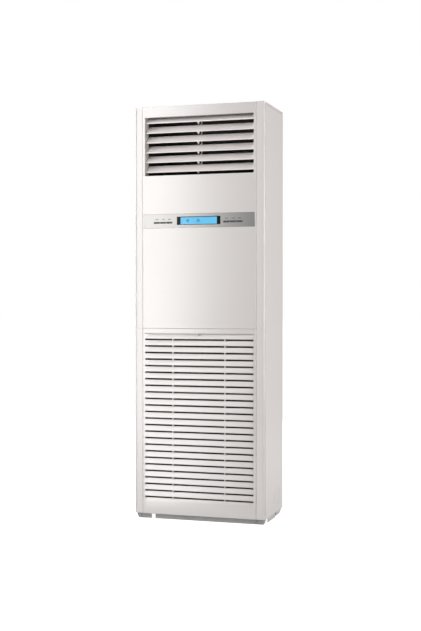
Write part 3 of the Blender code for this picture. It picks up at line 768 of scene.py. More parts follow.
@dataclass(frozen=True)
class Enamel(Finish):
    """Baked paint on sheet steel: orange peel, a slight mottle and a little grime low down.

    Attributes:
        mottle: width of the mottle.
        peel: width of the orange peel.
        depth: depth of the orange peel.
        wave_width: width of the sheet's slow waves.
        wave: depth of those waves.
        grime: how much of the grime on the lowest parts shows.
        grime_width: width of its patches.
        grime_heights: where it begins and where it is full.
        dirt: colour of the grime, as a share of the finish's.
    """

    tones: Flat = (0.98, 1.0)
    spread: float = 0.12
    patch: float = 0.012
    mottle: float = 0.004
    peel: float = 0.0022
    depth: float = 0.000018
    wave_width: float = 0.22
    wave: float = 0.0001
    grime: float = 0.16
    grime_width: float = 0.03
    grime_heights: Flat = (0.2, 0.02)
    dirt: float = 0.4

    def pattern(self, tree: ShaderTree) -> Sockets:
        """Say what each socket gets: mottle, grime and orange peel.

        Args:
            tree: the material's tree.

        Returns:
            Values by the shader's socket name.
        """
        body = self.toned(tree.noise(self.mottle, 3.0).ramp(*STRONG), self.colour)
        grime = tree.axis("Z").ramp(*self.grime_heights) * tree.noise(self.grime_width, 5.0) * self.grime
        height = tree.noise(self.peel, 1.0) * self.depth + tree.noise(self.wave_width, 0.0) * self.wave
        return {
            "Base Color": tree.mix(grime, body, scaled(self.colour, self.dirt)),
            "Roughness": self.glossed(tree.noise(self.patch, 3.0)),
            "Normal": tree.bump(height),
        }


@dataclass(frozen=True)
class Galvanised(Finish):
    """Zinc coated steel with spangles.

    Attributes:
        spangle: width of a spangle.
        grain: width of the fine grain.
        depth: depth of the spangles and of the grain.
    """

    tones: Flat = (0.8, 1.1)
    spread: float = 0.2
    spangle: float = 0.011
    grain: float = 0.001
    depth: float = 0.00001

    def pattern(self, tree: ShaderTree) -> Sockets:
        """Say what each socket gets: spangles in tone, gloss and height.

        Args:
            tree: the material's tree.

        Returns:
            Values by the shader's socket name.
        """
        sockets = {"Vector": tree.place, "Scale": 1 / self.spangle}
        cells = tree.node("ShaderNodeTexVoronoi", sockets=sockets, output="Color")
        tone = tree.node("ShaderNodeSeparateColor", sockets={0: cells})
        return {
            "Base Color": self.toned(tone, self.colour),
            "Roughness": self.glossed(tone),
            "Normal": tree.bump(tree.noise(self.grain) * self.depth + tone * self.depth),
        }


@dataclass(frozen=True)
class Brushed(Finish):
    """Metal brushed along the X axis.

    Attributes:
        hair: length of the long hairs.
        hair_stretch: how much finer they are along each axis.
        fine: length of the short hairs.
        fine_stretch: how much finer those are along each axis.
        shares: how much of the tone comes from the long and from the short ones.
        depth: depth of the short ones.
    """

    tones: Flat = (0.93, 1.04)
    spread: float = 0.08
    hair: float = 0.02
    hair_stretch: Point = (1.0, 60.0, 140.0)
    fine: float = 0.004
    fine_stretch: Point = (1.0, 20.0, 40.0)
    shares: Flat = (0.6, 0.4)
    depth: float = 0.000006

    def pattern(self, tree: ShaderTree) -> Sockets:
        """Say what each socket gets: hairs along X.

        Args:
            tree: the material's tree.

        Returns:
            Values by the shader's socket name.
        """
        hairs = tree.noise(self.hair, 6.0, self.hair_stretch)
        fine = tree.noise(self.fine, 3.0, self.fine_stretch)
        share = (hairs * self.shares[0] + fine * self.shares[1]).ramp(*STRONG)
        return {
            "Base Color": self.toned(share, self.colour),
            "Roughness": self.glossed(hairs),
            "Normal": tree.bump(fine * self.depth),
        }


@dataclass(frozen=True)
class Polished(Finish):
    """Polished dark plastic with faint smears and specks of dust.

    Attributes:
        dip: how far below the mean the roughness goes.
        smear: width of the smears.
        smear_stretch: how much finer they are along each axis.
        speck: width of the specks.
        speck_range: values of their noise at which they begin and are full.
        dust: their colour.
        dusty: how much of it shows.
        dull: roughness that they add.
        wave_width: width of the slow waves.
        wave: depth of the slow waves.
    """

    spread: float = 0.12
    dip: float = 0.04
    smear: float = 0.012
    smear_stretch: Point = (1.0, 1.0, 2.0)
    speck: float = 0.0009
    speck_range: Flat = (0.74, 0.8)
    dust: Colour = (0.2, 0.2, 0.2)
    dusty: float = 0.08
    dull: float = 0.3
    wave_width: float = 0.03
    wave: float = 0.00002

    def pattern(self, tree: ShaderTree) -> Sockets:
        """Say what each socket gets: smears and specks.

        Args:
            tree: the material's tree.

        Returns:
            Values by the shader's socket name.
        """
        smear = tree.noise(self.smear, 5.0, self.smear_stretch)
        specks = tree.noise(self.speck, 0.0).ramp(*self.speck_range)
        return {
            "Base Color": tree.mix(specks * self.dusty, self.colour, self.dust),
            "Roughness": smear * self.spread + (self.roughness - self.dip) + specks * self.dull,
            "Normal": tree.bump(tree.noise(self.wave_width, 0.0) * self.wave),
        }


@dataclass(frozen=True)
class Lit(Finish):
    """Backlit display: light from behind a fine dot mask, with a painted shade that dims it along its upper
    edge.

    Attributes:
        glow: colour of the light, which the tones vary.
        strength: strength of the light.
        cloud: width of the light's clouds.
        top: height of its upper edge in the frame.
        shade: how far the painted shade at the upper edge reaches down.
        dim: the light in that painted shade, as a share.
        mask: pitch of the dots.
        dotted: mean weight of the dots.
        dot: the light in a dot, as a share.
    """

    tones: Flat = (0.93, 1.05)
    spread: float = 0.06
    glow: Colour = (0.11, 0.47, 0.73)
    strength: float = 1.0
    cloud: float = 0.06
    top: float = 1.34
    shade: float = 0.005
    dim: float = 0.55
    mask: float = 0.0008
    dotted: float = 0.03
    dot: float = 0.6

    def pattern(self, tree: ShaderTree) -> Sockets:
        """Say what each socket gets: light through a dot mask.

        Args:
            tree: the material's tree.

        Returns:
            Values by the shader's socket name.
        """
        turns = 2 * math.pi / self.mask
        dots = (tree.axis("X") * turns).sine() * (tree.axis("Z") * turns).sine()
        # painted shade: the light dims towards the display's upper edge
        edge = tree.axis("Z").ramp(self.top - self.shade, self.top)
        light = self.toned(tree.noise(self.cloud, 1.0).ramp(*SOFT), self.glow)
        light = tree.mix(dots * self.dotted + self.dotted, light, scaled(self.glow, self.dot))
        return {
            "Base Color": self.colour,
            "Emission Color": tree.mix(edge, light, scaled(self.glow, self.dim)),
            "Emission Strength": self.strength,
            "Roughness": self.glossed(tree.noise(self.patch)),
        }


@dataclass(frozen=True)
class Matt(Finish):
    """Matt rubber, foam or plastic with a broken surface.

    Attributes:
        grain: width of the surface's bumps.
        depth: their depth.
        dust: colour of the dust that lies on it.
        dusty: the most of it that shows.
        dust_width: width of its patches.
        dust_range: values of their noise at which they begin and are full.
    """

    tones: Flat = (0.85, 1.1)
    spread: float = 0.2
    grain: float = 0.0012
    depth: float = 0.00005
    dust: Colour = (0.25, 0.23, 0.21)
    dusty: float = 0.05
    dust_width: float = 0.02
    dust_range: Flat = (0.4, 0.75)

    def pattern(self, tree: ShaderTree) -> Sockets:
        """Say what each socket gets: a broken surface and dust.

        Args:
            tree: the material's tree.

        Returns:
            Values by the shader's socket name.
        """
        cover = tree.noise(self.dust_width, 6.0).ramp(*self.dust_range) * self.dusty
        grain = tree.noise(self.grain, 3.0)
        body = self.toned(grain.ramp(*SOFT), self.colour)
        return {
            "Base Color": tree.mix(cover, body, self.dust),
            "Roughness": self.glossed(grain),
            "Normal": tree.bump(grain * self.depth),
        }


@dataclass(frozen=True)
class Woven(Finish):
    """Plain woven cloth seen square on, its threads along X and Z.

    Attributes:
        thread: pitch of the threads.
        depth: depth of the weave.
        lint: colour of the lint that lies on it.
        linty: the most of it that shows.
        lint_width: width of its patches.
        lint_range: values of their noise at which they begin and are full.
    """

    tones: Flat = (0.55, 1.3)
    patch: float = 0.004
    thread: float = 0.0012
    depth: float = 0.0001
    lint: Colour = (0.3, 0.28, 0.26)
    linty: float = 0.12
    lint_width: float = 0.015
    lint_range: Flat = (0.5, 0.8)

    def pattern(self, tree: ShaderTree) -> Sockets:
        """Say what each socket gets: threads and lint.

        Args:
            tree: the material's tree.

        Returns:
            Values by the shader's socket name.
        """
        turns = math.pi / self.thread
        weave = (tree.axis("X") * turns).sine() * (tree.axis("Z") * turns).sine()
        share = weave * 0.5 + 0.5
        cover = tree.noise(self.lint_width, 6.0).ramp(*self.lint_range) * self.linty
        return {
            "Base Color": tree.mix(cover, self.toned(share, self.colour), self.lint),
            "Roughness": self.glossed(tree.noise(self.patch)),
            "Normal": tree.bump(share * self.depth),
        }


@dataclass(frozen=True)
class Palette:
    """The finishes of the whole machine."""

    panel: Finish = Moulding(
        "panel_white", Slot.MOULDED_WHITE, scaled(WHITE, 0.87), 0.25, coat=0.8, coat_roughness=0.24, ior=1.55
    )
    pillar: Finish = Moulding(
        "pillar_white", Slot.MOULDED_WHITE, scaled(WHITE, 0.93), 0.37, coat=0.8, coat_roughness=0.2
    )
    # The blades' white is lighter than the panel's and pillars' white of the same plastic: painted light
    # that makes up for the shade they stand in inside the opening.
    blade: Finish = Moulding("blade_white", Slot.MOULDED_WHITE, scaled(WHITE, 1.32), 0.36, dust=0.0)
    enamel: Finish = Enamel("cabinet_enamel", Slot.ENAMEL, (0.62, 0.59, 0.575), 0.36)
    plinth: Finish = Matt("plinth_plastic", Slot.PLINTH_GREY, (0.36, 0.352, 0.344), 0.55, dusty=0.2)
    rail: Finish = Matt("rail_plastic", Slot.PLINTH_GREY, (0.56, 0.54, 0.525), 0.5, dusty=0.15)
    zinc: Finish = Galvanised("zinc_sheet", Slot.GALVANISED, (0.56, 0.57, 0.58), 0.42, 0.95)
    silver: Finish = Brushed("brushed_silver", Slot.SATIN_SILVER, (0.255, 0.249, 0.243), 0.31, 1.0)
    bezel: Finish = Polished("bezel_black", Slot.GLOSS_BLACK, (0.006, 0.006, 0.007), 0.2, ior=1.2)
    display: Finish = Lit("display_blue", Slot.LIT_BLUE, (0.02, 0.07, 0.12), 0.2, coat=0.2, ior=1.3)
    symbol: Finish = Lit(
        "symbol_blue", Slot.LIT_BLUE, (0.01, 0.03, 0.06), 0.2, glow=(0.015, 0.15, 0.3), ior=1.3
    )
    rubber: Finish = Matt("key_grey", Slot.KEY_RUBBER, (0.035, 0.034, 0.033), 0.6)
    ink: Finish = Matt("mark_ink", Slot.KEY_RUBBER, (0.03, 0.029, 0.028), 0.55, grain=0.0004, depth=0.00001)
    duct: Finish = Matt("duct_foam", Slot.DUCT_BLACK, (0.014, 0.014, 0.014), 0.8, depth=0.0002)
    link: Finish = Matt("link_plastic", Slot.LINK_GREY, (0.42, 0.415, 0.405), 0.5, depth=0.00002)
    filter_frame: Finish = Matt("filter_plastic", Slot.FILTER_FRAME, (0.06, 0.05, 0.044), 0.6)
    filter_cloth: Finish = Woven("filter_weave", Slot.FILTER_CLOTH, (0.045, 0.037, 0.032), 0.9)
    filter_wire: Finish = Matt("filter_nylon", Slot.FILTER_CLOTH, (0.075, 0.062, 0.055), 0.7, depth=0.00001)
    screw: Finish = Brushed("screw_zinc", Slot.SCREW_STEEL, (0.3, 0.3, 0.3), 0.34, 1.0)


class GeometryTree(NodeTree):
    """A Geometry Nodes tree with named inputs, whose result becomes a plain mesh."""

    def __init__(self, name: str) -> None:
        """Start an empty tree.

        Args:
            name: the tree's name.
        """
        self.group = bpy.data.node_groups.new(name, "GeometryNodeTree")
        super().__init__(self.group)
        self.group.interface.new_socket("Geometry", in_out="OUTPUT", socket_type="NodeSocketGeometry")
        self.entry = self.nodes.new("NodeGroupInput")
        self.exit = self.nodes.new("NodeGroupOutput")

    def named(self, name: str, kind: str) -> Value:
        """Add a named input of a kind, such as NodeSocketVector."""
        self.group.interface.new_socket(name, in_out="INPUT", socket_type=kind)
        return Value(self, self.entry.outputs[name])

    def shape_of(self, item: Value) -> Value:
        """Give the geometry of an object."""
        return self.node("GeometryNodeObjectInfo", sockets={"Object": item}, output="Geometry")

    def repeated(self, points: Value, item: Value, turn: Value) -> Value:
        """Stand an item on points, turned."""
        sockets = {"Points": points, "Instance": self.shape_of(item), "Rotation": turn}
        return self.node("GeometryNodeInstanceOnPoints", sockets=sockets)

    def close(self, geometry: Value) -> None:
        """End the tree: instances become real and take the finish.

        Args:
            geometry: what the tree has made.
        """
        finish = self.named("Finish", "NodeSocketMaterial")
        real = self.node("GeometryNodeRealizeInstances", sockets={0: geometry})
        dressed = self.node("GeometryNodeSetMaterial", sockets={"Geometry": real, "Material": finish})
        self.feed(self.exit.inputs[0], dressed)

    def mesh(self, values: Mapping[str, object]) -> bpy.types.Mesh:
        """Run the tree.

        Args:
            values: values of the inputs, by name.

        Returns:
            The result as a plain mesh.
        """
        carrier = scene_object("carrier", bpy.data.meshes.new("carrier"))
        modifier = carrier.modifiers.new("tree", "NODES")
        modifier.node_group = self.group
        for item in self.group.interface.items_tree:
            if item.in_out == "INPUT":
                modifier[item.identifier] = values[item.name]
        result = baked(carrier)
        bpy.data.objects.remove(carrier)
        return result


class GridTree(GeometryTree):
    """Repeats an item on a grid of rows and columns."""

    def __init__(self) -> None:
        """Build the tree."""
        super().__init__("item_grid")
        item = self.named("Item", "NodeSocketObject")
        start = self.named("Start", "NodeSocketVector")
        columns = self.named("Columns", "NodeSocketInt")
        column_step = self.named("Column Step", "NodeSocketVector")
        rows = self.named("Rows", "NodeSocketInt")
        row_step = self.named("Row Step", "NodeSocketVector")
        turn_axis = self.named("Turn", "NodeSocketVector")
        settings = {"mode": "OFFSET"}
        sockets = {"Count": rows, "Start Location": start, "Offset": row_step}
        column = self.node("GeometryNodeMeshLine", settings, sockets)
        row = self.node("GeometryNodeMeshLine", settings, {"Count": columns, "Offset": column_step})
        grid = self.node("GeometryNodeInstanceOnPoints", sockets={"Points": column, "Instance": row})
        grid = self.node("GeometryNodeRealizeInstances", sockets={0: grid})
        settings = {"data_type": "FLOAT_VECTOR"}
        turn = self.node("FunctionNodeRandomValue", settings, {"Max": turn_axis, "Seed": SEED})
        self.close(self.repeated(grid, item, turn))


class PathTree(GeometryTree):
    """Repeats an item along a closed path, turned with it."""

    def __init__(self) -> None:
        """Build the tree."""
        super().__init__("item_path")
        item = self.named("Item", "NodeSocketObject")
        path = self.named("Path", "NodeSocketObject")
        count = self.named("Count", "NodeSocketInt")
        sockets = {"Curve": self.shape_of(path), "Count": count}
        places = self.node("GeometryNodeResampleCurve", sockets=sockets)
        along = self.node("GeometryNodeInputTangent")
        settings = {"axis": "Z", "pivot_axis": "X"}
        turn = self.node("FunctionNodeAlignRotationToVector", settings, {"Vector": along})
        self.close(self.repeated(places, item, turn))


class ExtrusionTree(GeometryTree):
    """Gives a flat section a length, closed at both ends."""

    def __init__(self) -> None:
        """Build the tree."""
        super().__init__("extruded_section")
        section = self.named("Section", "NodeSocketObject")
        offset = self.named("Length", "NodeSocketVector")
        face = self.shape_of(section)
        sockets = {"Mesh": face, "Offset": offset, "Offset Scale": 1.0, "Individual": False}
        extruded = self.node("GeometryNodeExtrudeMesh", sockets=sockets)
        end = self.node("GeometryNodeFlipFaces", sockets={"Mesh": face})
        both = self.nodes.new("GeometryNodeJoinGeometry")
        for part in (extruded, end):
            self.feed(both.inputs[0], part)
        whole = Value(self, both.outputs[0])
        self.close(self.node("GeometryNodeMergeByDistance", sockets={"Geometry": whole}))


class Workshop:
    """Turns meshes into pieces of the model, and keeps the trees that several of them share."""

    def __init__(self, frame: Mapping[str, Any], palette: Palette) -> None:
        """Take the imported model.

        Args:
            palette: the finishes.
        """
        self.nodes = frame["nodes"]
        self.joints = frame["joints"]
        self.palette = palette
        self.grid = GridTree()
        self.path = PathTree()
        self.extrusion = ExtrusionTree()

    def place(
        self, name: str, mesh: bpy.types.Mesh, finish: Finish, body: str = ROOT, node: str = ""
    ) -> None:
        """Put a finished mesh in the scene as a piece.

        Args:
            name: the piece's name.
            mesh: its mesh, in the frame's own place.
            finish: its finish.
            body: the CAD body that it rides on.
            node: the CAD node that it stands for, if any.
        """
        mesh.materials.clear()
        mesh.materials.append(finish.material)
        piece = scene_object(name, mesh)
        mesh.name = name
        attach(piece, body)
        if node:
            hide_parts(node)
        LOG.info("%s: %d faces, rides on %s", name, len(mesh.polygons), body)

    def cleaned(self, node: str) -> Solid:
        """Copy a CAD node's mesh, with its doubles merged and its flats whole again.

        Args:
            node: the CAD node.

        Returns:
            The copy.
        """
        bm = bmesh.new()
        bm.from_mesh(self.nodes[node].data)
        return Solid(bm).welded().flattened()

    def soften(
        self, node: str, finish: Finish, softening: Softening = Softening(), body: str = ROOT,
        solid: Solid | None = None,
    ) -> None:
        """Stand a piece with rounded edges in a CAD node's place.

        Args:
            node: the CAD node.
            finish: the piece's finish.
            softening: how its edges are rounded.
            body: the CAD body that it rides on.
            solid: its shape, where that is not simply the node's own.
        """
        mesh = softening.apply((solid or self.cleaned(node)).to_mesh(node))
        self.place(f"{node}_finished", mesh, finish, body, node)

    def coat(self, node: str, finish: Finish) -> None:
        """Give a CAD node that keeps its own mesh a better finish.

        Args:
            node: the CAD node.
            finish: the finish.
        """
        data = self.nodes[node].data
        data.materials.clear()
        data.materials.append(finish.material)
        LOG.info("%s: keeps its solid, finish %s", node, finish.name)

    def on_grid(
        self,
        item: Solid,
        finish: Finish,
        start: Point,
        columns: int = 1,
        column_step: Point = (0.0, 0.0, 0.0),
        rows: int = 1,
        row_step: Point = (0.0, 0.0, 0.0),
        turn: Point = (0.0, 0.0, 0.0),
    ) -> bpy.types.Mesh:
        """Repeat an item on a grid.

        Args:
            item: the item, about the origin.
            finish: its finish.
            start: place of the first one.
            columns: how many there are in a row.
            column_step: step from one to the next in a row.
            rows: how many rows there are.
            row_step: step from one row to the next.
            turn: the largest random turn about each axis, in radians.

        Returns:
            All of them in one mesh.
        """
        shape = scene_object("item", item.to_mesh("item"))
        mesh = self.grid.mesh({
            "Item": shape, "Start": start, "Columns": columns, "Column Step": column_step,
            "Rows": rows, "Row Step": row_step, "Turn": turn, "Finish": finish.material,
        })
        bpy.data.objects.remove(shape)
        return mesh

    def on_path(self, item: Solid, finish: Finish, path: Sequence[Point], count: int) -> bpy.types.Mesh:
        """Repeat an item along a closed path.

        Args:
            item: the item, about the origin, with its length along Z.
            finish: its finish.
            path: the path's points.
            count: how many there are.

        Returns:
            All of them in one mesh.
        """
        curve = bpy.data.curves.new("path", "CURVE")
        curve.dimensions = "3D"
        spline = curve.splines.new("POLY")
        spline.points.add(len(path) - 1)
        for point, place in zip(spline.points, path):
            point.co = (*place, 1.0)
        spline.use_cyclic_u = True
        line = scene_object("path", curve)
        shape = scene_object("item", item.to_mesh("item"))
        mesh = self.path.mesh({"Item": shape, "Path": line, "Count": count, "Finish": finish.material})
        for scratch in (line, shape):
            bpy.data.objects.remove(scratch)
        return mesh

    def extruded(self, section: Sequence[Point], length: Point, finish: Finish) -> bpy.types.Mesh:
        """Give a flat section a length.

        Args:
            section: the section's points, with its face towards its own start.
            length: how far and which way it runs.
            finish: its finish.

        Returns:
            The closed mesh.
        """
        bm = bmesh.new()
        bm.faces.new([bm.verts.new(point) for point in section])
        shape = scene_object("section", Solid(bm).to_mesh("section"))
        mesh = self.extrusion.mesh({"Section": shape, "Length": length, "Finish": finish.material})
        bpy.data.objects.remove(shape)
        return mesh


@dataclass(frozen=True)
class CrossScrew:
    """Pan head screw with a cross recess, its head towards +Z and its seat at the origin.

    Attributes:
        radius: radius of the head.
        height: height of the head.
        dome: radius of its dome, as a share of the head's.
        dome_deg: where the dome ends, as an angle at its own middle.
        rim: height of the upright rim, as a share of the dome's end.
        slot: width of the recess.
        sink: depth of the recess.
        reach: half the length of the recess, as a share of the head's radius.
        taper: size of the recess at its foot and as far above the head.
        corner: corner radius of the recess, as a share of its width.
    """

    radius: float = 0.0042
    height: float = 0.002
    dome: float = 1.7
    dome_deg: float = 62.0
    rim: float = 0.75
    slot: float = 0.0011
    sink: float = 0.0013
    reach: float = 0.56
    taper: Flat = (0.45, 1.3)
    corner: float = 0.3

    def solid(self) -> Solid:
        """Build the screw's head.

        Returns:
            The head.
        """
        curve = self.radius * self.dome
        dome = arc((0.0, self.height - curve), curve, 90, self.dome_deg, 5)
        profile = [(0.0, 0.0), (self.radius, 0.0), (self.radius, dome[-1][1] * self.rim), *reversed(dome)]
        head = Solid.lathe(profile)
        for degrees in (0, 90):
            loops = []
            for level, share in zip((self.height - self.sink, self.height + self.sink), self.taper):
                width = self.slot * share
                length = 2 * self.radius * self.reach * share
                loops.append(Axis.Z.lift(level, rounded_rectangle(length, width, width * self.corner, 2)))
            head = head.cut(Solid.loft(loops).placed(turn=turned(Axis.Z, degrees)))
        return head


@dataclass
class Assembly:
    """A group of pieces that are built together.

    Attributes:
        shop: the workshop that makes them.
    """

    shop: Workshop

    @property
    def palette(self) -> Palette:
        """Give the finishes."""
        return self.shop.palette

    def build(self) -> None:
        """Build and place the pieces."""
        raise NotImplementedError


@dataclass
class Cabinet(Assembly):
    """Sheet steel sides, back and top.

    Attributes:
        edge: rounding of the folded edges.
        knockout_width: length of the pipe knock-out in each side.
        knockout_height: its height.
        knockout_from_back: its middle from the back face.
        knockout_rise: its middle above the side panel's lower edge.
        groove: width of the groove round it.
        groove_depth: depth of that groove.
        nibs: how many small bridges hold it.
        nib_shape: length, width and corner radius of a bridge, as shares of the groove's width.
        nib_sink: how far a bridge's middle lies in the groove, as a share of its depth.
        nib_rise: how far a bridge stands out from its middle, as such a share.
        nib_inset: half the straight stretch at each end of the line that the bridges stand on.
        bead_count: pressed beads in the back.
        bead_depth: their depth.
        screw_inset: back screws from the back panel's sides.
    """

    edge: Softening = Softening(0.0004)
    knockout_width: float = 0.105
    knockout_height: float = 0.068
    knockout_from_back: float = 0.107
    knockout_rise: float = 0.068
    groove: float = 0.004
    groove_depth: float = 0.0006
    nibs: int = 6
    nib_shape: tuple[float, float, float] = (0.9, 0.7, 0.2)
    nib_sink: float = 0.45
    nib_rise: float = 0.4
    nib_inset: float = 0.0001
    bead_count: int = 6
    bead_depth: float = 0.004
    screw_inset: float = 0.014

    def build(self) -> None:
        """Build and place the pieces."""
        for node in ("left_side_panel", "right_side_panel", "back_panel", "top_cover"):
            self.shop.soften(node, self.palette.enamel, self.edge)
        for word, side in SIDES.items():
            self.knockout_nibs(word, side)
        self.back_screws()

    def knockout_nibs(self, word: str, side: int) -> None:
        """Add the bridges that cross the groove of one knock-out.

        Args:
            word: left or right.
            side: -1 or 1.
        """
        low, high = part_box(f"{word}_side_panel")
        sink = self.groove_depth * self.nib_sink
        middle_x = side * (high.x if side > 0 else -low.x) - side * sink
        width = self.knockout_width - self.groove
        height = self.knockout_height - self.groove
        line = rounded_rectangle(width, height, height / 2 - self.nib_inset, 12)
        line = moved(line, high.y - self.knockout_from_back, low.z + self.knockout_rise)
        shape = rounded_rectangle(*(self.groove * share for share in self.nib_shape), 3)
        bar = Solid.prism(Axis.X, shape, -sink, self.groove_depth * self.nib_rise)
        mesh = self.shop.on_path(bar, self.palette.enamel, Axis.X.lift(middle_x, line), self.nibs)
        self.shop.place(f"{word}_knockout_nibs", mesh, self.palette.enamel)

    def back_screws(self) -> None:
        """Add the screws that hold the back, each in the recess of a bead."""
        low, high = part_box("back_panel")
        pitch = (high.z - low.z) / self.bead_count
        half = high.x - self.screw_inset
        head = CrossScrew().solid().placed(turn=turned(Axis.X, -90))
        mesh = self.shop.on_grid(
            head, self.palette.screw,
            start=(-half, high.y - self.bead_depth, low.z + pitch / 2),
            columns=2, column_step=(2 * half, 0.0, 0.0),
            rows=self.bead_count, row_step=(0.0, 0.0, pitch),
            turn=(0.0, math.pi / 2, 0.0),
        )
        self.shop.place("back_panel_screws", mesh, self.palette.screw)


@dataclass
class FrontMouldings(Assembly):
    """Corner pillars and the upper front panel.

    Attributes:
        edge: rounding of the upper panel's edges.
        pillar_edge: rounding of the pillars' sharp edges, which leaves their round corners alone.
        corner_radius: radius of the pillars' outer corners.
        inner_radius: radius of their inner front edges.
        sunk: how far their faces lie behind the front panel's and behind their round corners.
        line_width: half the width of the fine line that sets the corner off.
        line_depth: its depth.
        groove_width: width of the shadow groove behind each pillar's face.
        groove_depth: its depth.
        rim_radius: rounding of the front panel's edge round the discharge opening.
    """

    edge: Softening = Softening(0.0009, 3)
    pillar_edge: Softening = Softening(0.0005, 2, 40.0)
    corner_radius: float = 0.008
    inner_radius: float = 0.0005
    sunk: float = 0.002
    line_width: float = 0.0012
    line_depth: float = 0.0008
    groove_width: float = 0.0072
    groove_depth: float = 0.009
    rim_radius: float = 0.0015

    def build(self) -> None:
        """Build and place the pieces."""
        for level in ("lower", "upper"):
            for word, side in SIDES.items():
                self.pillar(f"{level}_{word}_pillar", side)
        self.upper_panel()

    def upper_panel(self) -> None:
        """Build the upper front panel, with a rounding round the discharge opening."""
        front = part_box("upper_front_panel")[0].y
        low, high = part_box("discharge_duct")

        def on_rim(place: Vector) -> bool:
            """Tell whether a corner of the panel's front face lies at the opening."""
            return abs(place.y - front) < TOUCH and abs(place.x) < high.x and low.z < place.z < high.z

        solid = self.shop.cleaned("upper_front_panel").rounded(on_rim, self.rim_radius, 4)
        self.shop.soften("upper_front_panel", self.palette.panel, self.edge, solid=solid)

    def pillar(self, node: str, side: int) -> None:
        """Build one pillar: a round outer corner with a shadow groove behind it.

        Args:
            node: its CAD node.
            side: -1 or 1.
        """
        low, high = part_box(node)
        outer = high.x if side > 0 else -low.x
        inner = low.x if side > 0 else -high.x
        groove_y = high.y - self.groove_width
        corner = (outer - self.corner_radius, low.y + self.corner_radius)
        face_y = low.y + self.sunk
        inner_corner = (inner + self.inner_radius, face_y + self.inner_radius)
        bead = corner[0] - self.line_width
        outline = arc(inner_corner, self.inner_radius, 180, 270, 3)
        outline += [(bead - self.line_width, face_y), (bead, face_y + self.line_depth)]
        outline += arc(corner, self.corner_radius, 270, 360, 16)
        outline += [
            (outer, groove_y),
            (outer - self.groove_depth, groove_y),
            (outer - self.groove_depth, high.y),
            (inner, high.y),
        ]
        outline = [(side * a, b) for a, b in outline]
        if side > 0:
            outline.reverse()
        finish = self.palette.pillar
        mesh = self.shop.extruded(Axis.Z.lift(low.z, outline), (0.0, 0.0, high.z - low.z), finish)
        self.shop.place(f"{node}_finished", self.pillar_edge.apply(mesh), finish, node=node)


